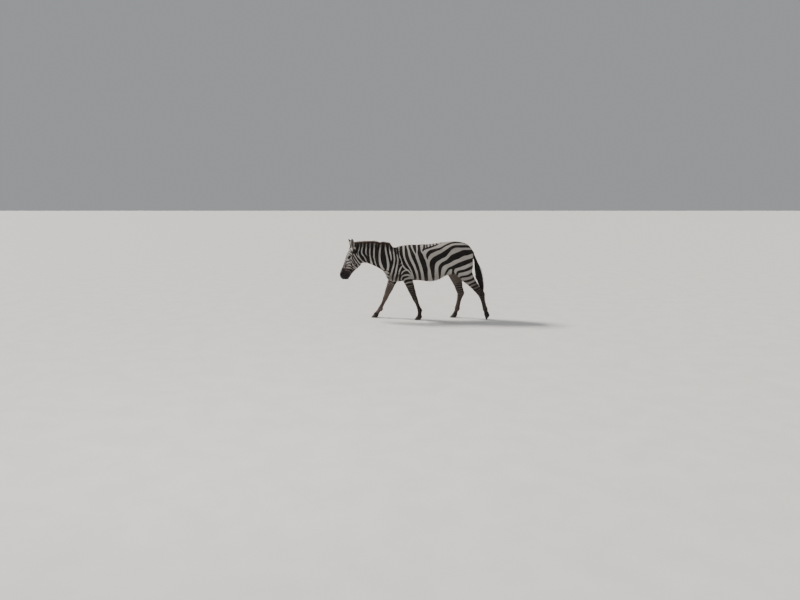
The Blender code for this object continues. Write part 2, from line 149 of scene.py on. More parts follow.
def rows_of(items, name):
    """One vector of each item, as the rows of an array."""
    flat = np.empty(len(items) * 3)
    items.foreach_get(name, flat)
    return flat.reshape(-1, 3)


def points_of(mesh):
    return rows_of(mesh.vertices, "co")


def normals_of(mesh):
    return rows_of(mesh.vertex_normals, "vector")


def centres_of(mesh):
    return rows_of(mesh.polygons, "center")


def set_points(mesh, points):
    mesh.vertices.foreach_set("co", np.ascontiguousarray(points).reshape(-1))
    mesh.update()


def smoothstep(low, high, value):
    share = np.clip((value - low) / (high - low), 0.0, 1.0)
    return share * share * (3 - 2 * share)


def window(rise, full, fade, gone, value):
    """1 from the second place to the third, 0 before the first and past the fourth, smooth between."""
    return smoothstep(rise, full, value) * (1 - smoothstep(fade, gone, value))


def bell(distance, width):
    return np.exp(-(distance / width) ** 2)


def unit(vector):
    return vector / np.linalg.norm(vector)


def unit_rows(rows):
    """Each row at a length of 1, with rows of no length left alone."""
    return rows / np.maximum(np.linalg.norm(rows, axis=-1, keepdims=True), 1e-9)


def unit_across(vector, out):
    """A way turned square to another, at a length of 1."""
    return unit(vector - out * (vector @ out))


def side_view(points):
    """Points as (x, y, z) in the measures that all places on the body are given in."""
    return points * (1.0, 1.0, 1.0 / STATURE) + (SIDE_ORIGIN, 0.0, 0.0)


# The head is turned a little to the left about the top of the neck. Its own measures undo the turn.
HEAD_TURN = math.radians(6)
TURN_COS, TURN_SIN = math.cos(HEAD_TURN), math.sin(HEAD_TURN)
HEAD_PIVOT = -0.98          # place that it turns about
HEAD_SWING = 0.0251         # how far the bend of the neck has brought that place to the left
POLL = np.array((-1.020, 1.220))
HEAD_WAY = np.array((-0.3219, -0.9468))     # from the poll down to the lips
HEAD_OUT = np.array((-0.9468, 0.3219))      # from the jaw out to the face
HEAD_BACK = -1.035          # place behind the ears where head and neck meet
JAW_TOP, JAW_SLANT = 1.13, 0.62             # below this height they meet further back, by this much a metre
WRAP = 0.08                                 # metres of the head's map to a radian round the face


def head_straight(points):
    """The same points with the head unturned, its midline on y = 0."""
    x, y, z = side_view(points).T
    across, ahead = y + HEAD_SWING, x - HEAD_PIVOT
    return np.stack((HEAD_PIVOT + TURN_COS * ahead + TURN_SIN * across,
                     TURN_COS * across - TURN_SIN * ahead, z), axis=1)


def head_turned(points):
    """Takes points of the straight head back to the frame."""
    x, y, z = points.T
    ahead = x - HEAD_PIVOT
    return np.stack((HEAD_PIVOT + TURN_COS * ahead - TURN_SIN * y - SIDE_ORIGIN,
                     TURN_COS * y + TURN_SIN * ahead - HEAD_SWING, z * STATURE), axis=1)


def head_map(points):
    """Distance down the head from the poll, distance round it from the middle of the face, and
    how far in front of the widest line a point lies."""
    straight = head_straight(points)
    side = straight[:, (0, 2)] - POLL
    down, out = side @ HEAD_WAY, side @ HEAD_OUT
    angle = np.arctan2(np.abs(straight[:, 1]), np.maximum(out, 0.0001))
    return down, np.where(out > 0, WRAP * angle, WRAP * math.pi / 2 - out), out


def of_head(points):
    """True on the head, which meets the neck on a slant from behind the ears to the jaw."""
    x, _, z = side_view(points).T
    back = HEAD_BACK + JAW_SLANT * np.maximum(JAW_TOP - z, 0.0)
    return (x < back) & (z > LEGS_ONLY)


parts = [copy_of_node(node) for node in (*FLESH, *EYES)]
deselect()
for part in parts:
    part.select_set(True)
hide = parts[0]
bpy.context.view_layer.objects.active = hide
bpy.ops.object.join()
hide.name = "hide"
face_outwards(hide)
with edit_mode():
    bpy.ops.transform.shrink_fatten(value=SEAM)
applied(hide, "REMESH", mode="VOXEL", voxel_size=GRAIN)

side = side_view(points_of(hide.data))
broad = (side[:, 0] > -0.90) & (side[:, 2] > LEGS_ONLY)
hide.vertex_groups.new(name="broad").add(np.flatnonzero(broad).tolist(), 1.0, "REPLACE")
applied(hide, "SMOOTH", factor=0.6, iterations=45, vertex_group="broad")
applied(hide, "SMOOTH", factor=0.5, iterations=7)
hide.vertex_groups.clear()

# Trunk and neck are smooth enough for fewer faces. A trace of roughness, evened out again after, keeps
# the faces that are left about the same length each way.
generator = np.random.default_rng(7)
points = points_of(hide.data)
smooth_part = (side_view(points)[:, 0] > -0.87) & (side_view(points)[:, 2] > 0.68)
points[smooth_part] += generator.normal(0, ROUGHNESS, (smooth_part.sum(), 3))
set_points(hide.data, points)
middles = side_view(centres_of(hide.data))
select_only(hide, (middles[:, 0] > -0.86) & (middles[:, 2] > 0.70))
with edit_mode():
    bpy.ops.mesh.quads_convert_to_tris()
    bpy.ops.mesh.decimate(ratio=BODY_SHARE)
    bpy.ops.mesh.vertices_smooth(factor=0.5, repeat=6)

EYE_RADIUS = 0.0205
EYE_CENTRE = (-1.108, 0.0835, 1.086)        # on the right of the straight head
EYE_REACH = 0.05            # points further than this from its middle are none of the eye's
NOSTRIL = (-1.232, 0.040, 0.806)            # the same
MOUTH = ((-1.222, 0.690), (-1.196, 0.706), (-1.170, 0.738), (-1.146, 0.776))    # lips to corner


def to_polyline(points, line):
    """Distance of 2-D points to a line through the given ones, and the share along it."""
    line = np.asarray(line, float)
    steps = np.diff(line, axis=0)
    lengths = np.linalg.norm(steps, axis=1)
    run = np.concatenate(([0.0], np.cumsum(lengths)))
    best = np.full(len(points), np.inf)
    share = np.zeros(len(points))
    for start, step, length, before in zip(line, steps, lengths, run):
        along = np.clip((points - start) @ step / length ** 2, 0.0, 1.0)
        gap = np.linalg.norm(points - start - along[:, None] * step, axis=1)
        nearer = gap < best
        best[nearer] = gap[nearer]
        share[nearer] = (before + along[nearer] * length) / run[-1]
    return best, share


AROUND_EYE, AROUND_NOSTRIL, AROUND_LIPS = 0.034, 0.030, 0.010       # how far the work round them goes


def near_openings(centres, reach):
    """The faces near an eye, a nostril or the mouth, within a share of the work round it."""
    straight = head_straight(centres)
    mirrored = straight * (1, 0, 1) + (0, 1, 0) * np.abs(straight)
    eye = np.linalg.norm(mirrored - EYE_CENTRE, axis=1) < AROUND_EYE * reach
    nostril = np.linalg.norm(mirrored - NOSTRIL, axis=1) < AROUND_NOSTRIL * reach
    mouth = to_polyline(straight[:, (0, 2)], MOUTH)[0] < AROUND_LIPS * reach
    mouth &= straight[:, 2] < 0.82
    return eye | nostril | mouth


def split_faces(piece, wanted):
    """Cuts each face of the mask into four."""
    select_only(piece, wanted)
    with edit_mode():
        bpy.ops.mesh.subdivide(number_cuts=1, smoothness=0.0)


# The face is made finer, and the openings finer still
middles = centres_of(hide.data)
down, _, out = head_map(middles)
split_faces(hide, of_head(middles) & ((out > 0.0) | (down > 0.37)))
for reach in (0.82, 0.60):
    split_faces(hide, near_openings(centres_of(hide.data), reach))

# Sinking under the coat, and the forms of muscle and bone. Each line is a furrow, or a ridge where
# its depth is below zero: places in the side view, width, depth, sides.
COAT_DEPTH = 0.0032
THIN_COAT = 0.0018          # on the face and the lower legs
BODY_LINES = (
    (((-0.86, 1.02), (-0.70, 0.985), (-0.55, 0.92), (-0.46, 0.84)), 0.020, 0.006, (-1, 1)),     # throat
    (((-0.95, 1.20), (-0.75, 1.205), (-0.55, 1.19), (-0.42, 1.15)), 0.028, 0.003, (-1, 1)),
    (((-0.39, 1.24), (-0.41, 1.12), (-0.42, 1.00), (-0.425, 0.90)), 0.026, 0.007, (-1, 1)),     # shoulder
    (((-0.27, 1.21), (-0.31, 1.08), (-0.345, 0.96)), 0.018, -0.004, (-1, 1)),       # ridge of the blade
    (((-0.20, 1.19), (-0.16, 1.05), (-0.10, 0.92), (-0.05, 0.81)), 0.034, 0.009, (-1,)),    # behind the arm
    (((-0.22, 1.19), (-0.21, 1.05), (-0.20, 0.92), (-0.20, 0.81)), 0.034, 0.009, (1,)),
    (((-0.34, 0.98), (-0.27, 0.93), (-0.21, 0.84), (-0.19, 0.76)), 0.018, 0.005, (-1,)),
    (((-0.36, 0.98), (-0.34, 0.92), (-0.33, 0.84), (-0.34, 0.76)), 0.018, 0.005, (1,)),
    (((0.05, 0.69), (-0.01, 0.70), (-0.06, 0.73)), 0.016, 0.008, (-1,)),            # fold of the elbow
    (((-0.15, 0.68), (-0.21, 0.69), (-0.26, 0.72)), 0.016, 0.008, (1,)),
    (((0.33, 0.79), (0.48, 0.83), (0.58, 0.90)), 0.030, 0.005, (-1, 1)),            # edge of the belly
    (((0.60, 1.02), (0.625, 0.92), (0.635, 0.82)), 0.028, 0.010, (-1, 1)),          # fold of the flank
    (((0.93, 1.20), (0.975, 1.06), (1.00, 0.93), (1.015, 0.82)), 0.016, 0.006, (-1,)),          # hamstrings
    (((0.91, 1.20), (0.93, 1.06), (0.92, 0.93), (0.90, 0.82)), 0.016, 0.006, (1,)),
    (((0.74, 1.17), (0.77, 1.02), (0.80, 0.90)), 0.030, 0.004, (-1,)),
    (((0.72, 1.17), (0.70, 1.02), (0.68, 0.90)), 0.030, 0.004, (1,)),
    (((0.62, 1.215), (0.66, 1.20)), 0.030, -0.005, (-1, 1)),                        # point of the hip
    (((0.45, 1.19), (0.53, 1.20)), 0.050, 0.011, (-1, 1)),                          # hollow of the flank
)
RIB_FIRST, RIB_STEP, RIB_COUNT = 0.03, 0.074, 6
RIB_WIDTH, RIB_DEPTH = 0.020, 0.0020
HEAD_LINES = (
    (((-1.130, 1.028), (-1.150, 0.975), (-1.168, 0.925)), 0.011, -0.0028),          # ridge under the eye
    (((-1.108, 1.010), (-1.126, 0.965), (-1.146, 0.915)), 0.015, 0.0022),
    (((-1.085, 1.030), (-1.060, 0.960), (-1.030, 0.900)), 0.011, 0.0035),           # front of the cheek
    (((-1.180, 0.985), (-1.205, 0.905), (-1.222, 0.850)), 0.011, 0.0025),           # side of the nose
    (((-1.082, 1.150), (-1.070, 1.160)), 0.016, 0.0060),                            # hollow over the eye
    (((-0.960, 1.100), (-0.925, 1.020), (-0.925, 0.960)), 0.014, 0.0050),           # behind the jaw
)

# Joints of the legs in the side view, from the shoulder or the hip down to the top of the hoof
LEGS = {
    ("fore", "left"): ((-0.180, 0.920), (-0.098, 0.720), (0.033, 0.378), (0.113, 0.168), (0.112, 0.055)),
    ("fore", "right"): ((-0.270, 0.920), (-0.338, 0.710), (-0.479, 0.358), (-0.578, 0.160), (-0.648, 0.055)),
    ("hind", "left"): ((0.830, 1.130), (0.895, 0.780), (1.182, 0.442), (1.252, 0.186), (1.281, 0.104)),
    ("hind", "right"): ((0.800, 1.130), (0.728, 0.800), (0.843, 0.430), (0.786, 0.165), (0.750, 0.055)),
}
LEG_OUT = 0.112             # how far the lower legs stand from the midline
LEG_HIGHEST = 0.78          # nothing above this counts as a leg
LEGS_FROM, LEGS_PARTED = -0.85, 0.35        # places behind the head, and between fore and hind legs


def leg_joints(leg):
    """How far down the leg its elbow or stifle, knee or hock, fetlock and coronet are."""
    return np.cumsum(np.linalg.norm(np.diff(LEGS[leg], axis=0), axis=1))


def leg_map(points, leg):
    """Distance down a leg, distance ahead of its middle, and distance out from its own midline."""
    x, y, z = side_view(points).T
    ends = np.array(LEGS[leg])
    best = np.full(len(points), np.inf)
    down, ahead = np.zeros(len(points)), np.zeros(len(points))
    before = 0.0
    for start, end in zip(ends, ends[1:]):
        length = np.linalg.norm(end - start)
        way = (end - start) / length
        offset = np.stack((x, z), axis=1) - start
        raw = offset @ way
        along = np.clip(raw, 0.0, length)
        gap = np.linalg.norm(offset - along[:, None] * way, axis=1)
        nearer = gap < best
        best[nearer] = gap[nearer]
        reach = np.maximum(raw, along) if np.array_equal(end, ends[-1]) else along
        down[nearer] = (before + reach)[nearer]
        ahead[nearer] = (offset @ (way[1], -way[0]))[nearer]
        before += length
    return down, ahead, SIDES[leg[1]] * y - LEG_OUT


def on_leg(points, leg):
    """The points of one leg below the belly."""
    x, y, z = side_view(points).T
    fore = x < LEGS_PARTED
    return (fore == (leg[0] == "fore")) & (SIDES[leg[1]] * y > 0) & (z < LEG_HIGHEST) & (x > LEGS_FROM)


def sink(points, normals, amount):
    """Moves the given array of points inwards."""
    points -= normals * amount[:, None]


def press_lines(points, normals):
    """Works the muscles, ribs and bones into the body."""
    x, y, z = side_view(points).T
    flank = smoothstep(0.03, 0.07, np.abs(y))
    amount = np.zeros(len(points))
    for line, width, depth, sides in BODY_LINES:
        gap, share = to_polyline(np.stack((x, z), axis=1), line)
        ends = window(0.0, 0.15, 0.85, 1.0, share) * 0.5 + 0.5
        amount += depth * bell(gap, width) * ends * flank * np.isin(np.sign(y), sides)
    ribs = window(0.78, 0.90, 1.08, 1.20, z)
    for rib in range(RIB_COUNT):
        at = RIB_FIRST + rib * RIB_STEP + 0.10 * (1.1 - z)
        amount += RIB_DEPTH * bell(x - at, RIB_WIDTH) * ribs * flank
    head = of_head(points)
    straight = head_straight(points)
    cheek = smoothstep(0.015, 0.035, np.abs(straight[:, 1])) * head
    for line, width, depth in HEAD_LINES:
        gap, _ = to_polyline(straight[:, (0, 2)], line)
        amount += depth * bell(gap, width) * cheek
    sink(points, normals, amount)


def press_legs(points, normals):
    """Tendons stand clear of the cannon bones, and knees, hocks and fetlocks have their hollows."""
    for leg in LEGS:
        mask = on_leg(points, leg)
        down, ahead, out = leg_map(points[mask], leg)
        _, middle, fetlock, coronet = leg_joints(leg)
        sideways = smoothstep(0.35, 0.75, np.abs(normals[mask][:, 1]))
        cannon = window(middle + 0.05, middle + 0.09, fetlock - 0.045, fetlock - 0.01, down)
        amount = 0.0050 * bell(ahead + 0.009, 0.006) * cannon * sideways
        above = window(middle - 0.20, middle - 0.12, middle - 0.05, middle - 0.015, down)
        hollow = 0.008 if leg[0] == "hind" else 0.0035
        amount += hollow * bell(ahead + 0.020, 0.012) * above * sideways
        amount += 0.0025 * bell(down - middle - 0.035, 0.014) * sideways
        amount -= 0.0030 * bell(down - middle, 0.022) * sideways
        amount += 0.0020 * bell(down - fetlock - 0.042, 0.012)
        amount -= 0.0030 * bell(down - fetlock, 0.016) * smoothstep(0.0, 0.02, -ahead)
        amount -= 0.0062 * smoothstep(coronet - 0.026, coronet - 0.004, down)
        if leg[0] == "fore":
            # The horny chestnut inside the forearm
            inner = smoothstep(0.0, 0.012, -out)
            oval = np.hypot((down - middle + 0.085) / 0.024, ahead / 0.012)
            amount -= 0.0030 * smoothstep(1.0, 0.6, oval) * inner
        picked = points[mask]
        sink(picked, normals[mask], amount)
        points[mask] = picked


TAIL_LINE = ((0.970, 1.215), (1.038, 1.152), (1.074, 1.060), (1.106, 0.975), (1.127, 0.920), (1.150, 0.860))
TAIL_THINNING = 0.30        # share by which the dock is slimmer than its solid
TAIL_SHIFT = 0.008          # how far it moves towards the thighs


def press_tail(points):
    """Under its hair the dock is slighter, and sits a little closer to the thighs."""
    x, y, z = side_view(points).T
    line = np.array(TAIL_LINE[::-1])
    off = x - np.interp(z, line[:, 1], line[:, 0])
    share = smoothstep(1.16, 1.09, z) * smoothstep(0.055, 0.040, np.abs(off))
    share *= smoothstep(0.048, 0.036, np.abs(y))
    share *= x > 1.0
    points[:, 0] -= share * (TAIL_THINNING * off + TAIL_SHIFT)
    points[:, 1] -= share * TAIL_THINNING * y


def on_side(place, side):
    """A place given for the right side, carried to the side asked for."""
    return np.array(place) * (1, SIDES[side], 1)


def eye_frame(side):
    """Middle of the eyeball and its ways out, towards the inner corner, and up, in the straight head."""
    centre = on_side(EYE_CENTRE, side)
    out = unit(np.array((-0.26, SIDES[side] * 0.96, -0.04)))
    corner = unit_across(np.array((-0.78, 0.0, -0.62)), out)
    up = np.cross(out, corner) * SIDES[side]
    return centre, out, corner, up * np.sign(up[2])


LID = 0.0026                # thickness of an eyelid
LID_SPAN = 0.66             # share of the ball's radius past which a lid leaves it in a straight slope
OPENING = (0.0190, 0.0132, 0.0104)      # half its length, rise of the upper lid, fall of the lower one


def eye_ring(straight, side):
    """Places round an eye: along to its inner corner, up, the ring round its opening, whose edge is 1,
    and whether they are near enough to be the eye's."""
    centre, _, corner, up = eye_frame(side)
    rel = straight - centre
    along, rise = rel @ corner, rel @ up
    ring = np.hypot(along / OPENING[0], rise / OPENING[1])
    return along, rise, ring, np.linalg.norm(rel, axis=1) < EYE_REACH


def press_eyes(straight):
    """Pushes the opening behind the eyeball and stretches both lids over it."""
    for side in SIDES:
        centre, out, corner, up = eye_frame(side)
        rel = straight - centre
        along, rise, height = rel @ corner, rel @ up, rel @ out
        lateral = np.hypot(along, rise)
        near = (lateral < EYE_REACH) & (height > -0.03)
        along, rise, height, lateral = along[near], rise[near], height[near], lateral[near]
        lid = np.where(rise > 0, OPENING[1], OPENING[2]) * (1 + 0.10 * along / OPENING[0])
        ring = np.hypot(along / OPENING[0], rise / lid)
        radius = EYE_RADIUS + LID
        turn = LID_SPAN * radius
        edge = math.sqrt(radius ** 2 - turn ** 2)
        ball = np.sqrt(radius ** 2 - np.minimum(lateral, turn) ** 2)
        ball -= np.maximum(lateral - turn, 0) * turn / edge * np.where(rise > 0, 1.15, 0.95)
        soft = 0.007
        mix = np.clip(0.5 + 0.5 * (ball - height) / soft, 0, 1)
        lifted = height + (ball - height) * mix + soft * mix * (1 - mix)
        lifted += 0.0016 * bell(ring - 1.12, 0.16)
        upper = smoothstep(-0.3, 0.3, rise / OPENING[1])
        # One crease below the lower lid and two above the upper
        lifted -= 0.0026 * bell(ring - 1.62, 0.16) * upper + 0.0016 * bell(ring - 1.75, 0.18) * (1 - upper)
        lifted -= 0.0012 * bell(ring - 2.25, 0.15) * upper
        inside = np.sqrt(np.maximum(EYE_RADIUS ** 2 - lateral ** 2, 0.0)) - 0.0040
        lifted = inside + (lifted - inside) * smoothstep(0.84, 1.06, ring)
        # The tear duct's groove at the inner corner
        tear = bell(rise + 0.002, 0.0022) * smoothstep(0.014, 0.019, along)
        tear *= 1 - smoothstep(0.026, 0.036, along)
        lifted -= 0.0035 * tear
        straight[near] += out * (lifted - height)[:, None]


def press_nostrils(straight):
    """A comma-shaped opening in a raised wing on each side of the muzzle."""
    for side in SIDES:
        centre = on_side(NOSTRIL, side)
        out = unit(np.array((-0.62, SIDES[side] * 0.76, -0.20)))
        length = unit_across(np.array((0.10, 0.0, 0.99)), out)
        back = np.cross(length, out)
        back *= np.sign(back[0])
        rel = straight - centre
        along, across, height = rel @ length, rel @ back, rel @ out
        near = (np.abs(along) < 0.05) & (np.abs(across) < 0.04) & (np.abs(height) < 0.03)
        along, across, height = along[near], across[near], height[near]
        bend = 0.0055 * np.clip(along / 0.02, -1.6, 1.6) ** 2
        width = 0.0100 - 0.0030 * np.clip(along / 0.02, -1, 1)
        ring = np.hypot(along / 0.0225, (across - bend + 0.003) / width)
        change = -0.0165 * (1 - smoothstep(0.45, 1.05, ring))
        change += 0.0036 * bell(ring - 1.40, 0.36) * smoothstep(-0.015, 0.004, across)
        change += 0.0016 * bell(ring - 1.35, 0.30) * smoothstep(0.004, -0.008, across)
        straight[near] += out * change[:, None]


def press_mouth(straight, ways):
    """The line between the lips, with the lips full on both sides of it."""
    near = (straight[:, 0] < -1.10) & (straight[:, 2] < 0.83)
    gap, share = to_polyline(straight[near][:, (0, 2)], MOUTH)
    fade = 1 - smoothstep(0.86, 1.0, share)
    change = 0.0062 * bell(gap, 0.0026) * fade - 0.0020 * bell(gap - 0.010, 0.006) * fade
    straight[near] -= ways[near] * change[:, None]
    front = (straight[:, 0] < -1.20) & (straight[:, 2] < 0.80)
    _, y, z = straight[front].T
    groove = 0.0012 * bell(y, 0.004) * (1 - smoothstep(0.74, 0.79, z))
    straight[front] -= ways[front] * groove[:, None]


# First the depth of the coat, then body, legs and tail, and last the openings of the head
points, normals = points_of(hide.data), normals_of(hide.data)
heights = side_view(points)[:, 2]
fine = np.maximum(of_head(points), 1 - smoothstep(0.45, 0.75, heights))
sink(points, normals, COAT_DEPTH + (THIN_COAT - COAT_DEPTH) * fine)
press_lines(points, normals)
press_legs(points, normals)
press_tail(points)
set_points(hide.data, points)
head = of_head(points)
straight = head_straight(points)
ways = unit_rows(head_straight(points + normals_of(hide.data) * 0.001) - straight)
before = straight.copy()
press_mouth(straight, ways)
press_nostrils(straight)
press_eyes(straight)
moved = head & (np.abs(straight - before).max(axis=1) > 0)
points[moved] = head_turned(straight[moved])
set_points(hide.data, points)

# ------------------------------------------------------------
# Ears. Cups of the same skin, rolled at the root and open above, each turned its own way. Each is
# drawn as a shell sunk a little into the head and joined to the hide, and the join is eased.

EAR = (
    (-0.10, 0.016, 158),    # share of the length, radius of the shell, half the angle that it wraps
    (0.00, 0.019, 152),
    (0.20, 0.026, 138),
    (0.42, 0.033, 114),
    (0.62, 0.033, 94),
    (0.80, 0.026, 78),
    (0.93, 0.014, 66),
    (1.00, 0.004, 55),
)
EAR_LENGTH = 0.196
EAR_WALL = 0.0052
EAR_ROOT = (-1.030, 0.047, 1.215)           # of the right ear, in the straight head
EAR_LEAN = {"left": (-9, 15), "right": (-26, 13)}       # degrees, forwards below zero, and outwards
EAR_FACES = {"left": 62, "right": 40}                   # how far each opening turns from the front
EAR_POINTS = 15             # points from edge to edge, outside and again inside
SKIN_JOIN = 0.0004          # points of the joined root nearer than this are one


def read_table(table, value, index=1):
    """The column of a table at a value of its first column, straight between its rows."""
    rows = np.array(table)
    return np.interp(value, rows[:, 0], rows[:, index])


def ear_size(share):
    """Radius of an ear's shell and half the angle that it wraps, at a share of its length."""
    return read_table(EAR, share, 1), np.radians(read_table(EAR, share, 2))


def smooth_rows(rows, steps):
    """Rows of numbers joined by a smooth curve that passes through each of them."""
    rows = np.asarray(rows, float)
    padded = np.concatenate((rows[:1], rows, rows[-1:]))
    smooth = []
    for a, b, c, d in zip(padded, padded[1:], padded[2:], padded[3:]):
        for t in np.arange(steps) / steps:
            bend = 2 * a - 5 * b + 4 * c - d + t * (3 * (b - c) + d - a)
            smooth.append(b + 0.5 * t * (c - a + t * bend))
    smooth.append(rows[-1])
    return np.array(smooth)


def turn_about(axis, degrees):
    """A rotation of points about the x, y or z axis."""
    angle = math.radians(degrees)
    near, far = [(1, 2), (2, 0), (0, 1)][axis]
    matrix = np.eye(3)
    matrix[near, near] = matrix[far, far] = math.cos(angle)
    matrix[far, near] = math.sin(angle)
    matrix[near, far] = -math.sin(angle)
    return matrix


def ear_place(side):
    """Matrix and root that carry an ear from its own measures, open to -X, to the straight head."""
    sign = SIDES[side]
    forwards, outwards = EAR_LEAN[side]
    lean = turn_about(0, -sign * outwards) @ turn_about(1, forwards)
    return lean @ turn_about(2, -sign * EAR_FACES[side]), on_side(EAR_ROOT, side)


def ear_shell(side):
    """The closed cup of one ear, in its place on the head."""
    rings = []
    for share, radius, wrap in smooth_rows(EAR, 3):
        half = math.radians(wrap)
        turns = np.linspace(-half, half, EAR_POINTS)
        edge = np.abs(np.linspace(-1, 1, EAR_POINTS)) ** 4
        wall = min(EAR_WALL, 0.55 * radius) * (1 - 0.45 * edge)
        lip = 0.0045 * edge * math.sin(math.pi * min(max(share, 0), 1))
        outer = np.stack(((radius + lip) * np.cos(turns), (radius + lip) * np.sin(turns)), axis=1)
        inner = np.stack(((radius + lip - wall) * np.cos(turns),
                          (radius + lip - wall) * np.sin(turns)), axis=1)
        ring = np.concatenate((outer, inner[::-1]))
        rings.append(np.concatenate((ring, np.full((len(ring), 1), share * EAR_LENGTH)), axis=1))
    turn, root = ear_place(side)
    points = head_turned(np.concatenate(rings) @ turn.T + root)
    around = 2 * EAR_POINTS
    last = (len(rings) - 1) * around
    faces = []
    for low in range(0, last, around):
        for i in range(around):
            j = (i + 1) % around
            faces.append((low + i, low + j, low + around + j, low + around + i))
    for start in (0, last):
        for i in range(EAR_POINTS - 1):
            a, b = start + i, start + around - 1 - i
            faces.append((a, a + 1, b - 1, b) if start else (b, b - 1, a + 1, a))
    mesh = bpy.data.meshes.new("ear_shell")
    mesh.from_pydata(points.tolist(), [], faces)
    shell = new_object("ear_shell", mesh)
    face_outwards(shell)
    return shell


def ear_own(points, side):
    """Points in an ear's own measures."""
    turn, root = ear_place(side)
    return (head_straight(points) - root) @ turn


for side in SIDES:
    shell = ear_shell(side)
    applied(hide, "BOOLEAN", object=shell, operation="UNION", solver="MANIFOLD")
    bpy.data.objects.remove(shell)
points = points_of(hide.data)
near_root = np.zeros(len(points), bool)
for side in SIDES:
    own = ear_own(points, side)
    near_root |= (np.hypot(own[:, 0], own[:, 1]) < 0.040) & (np.abs(own[:, 2] - 0.006) < 0.022)
select_only(hide, near_root, "VERT")
with edit_mode():
    bpy.ops.mesh.remove_doubles(threshold=SKIN_JOIN)
    bpy.ops.mesh.vertices_smooth(factor=0.5, repeat=10)

# ------------------------------------------------------------
# Markings. Black and white bands, drawn as strokes in the side view and read as a distance from
# their edges, so that hide, coat and mane all carry the same ones. Before the divider the ground
# is black and the strokes are white; behind it the ground is white and the strokes are black.

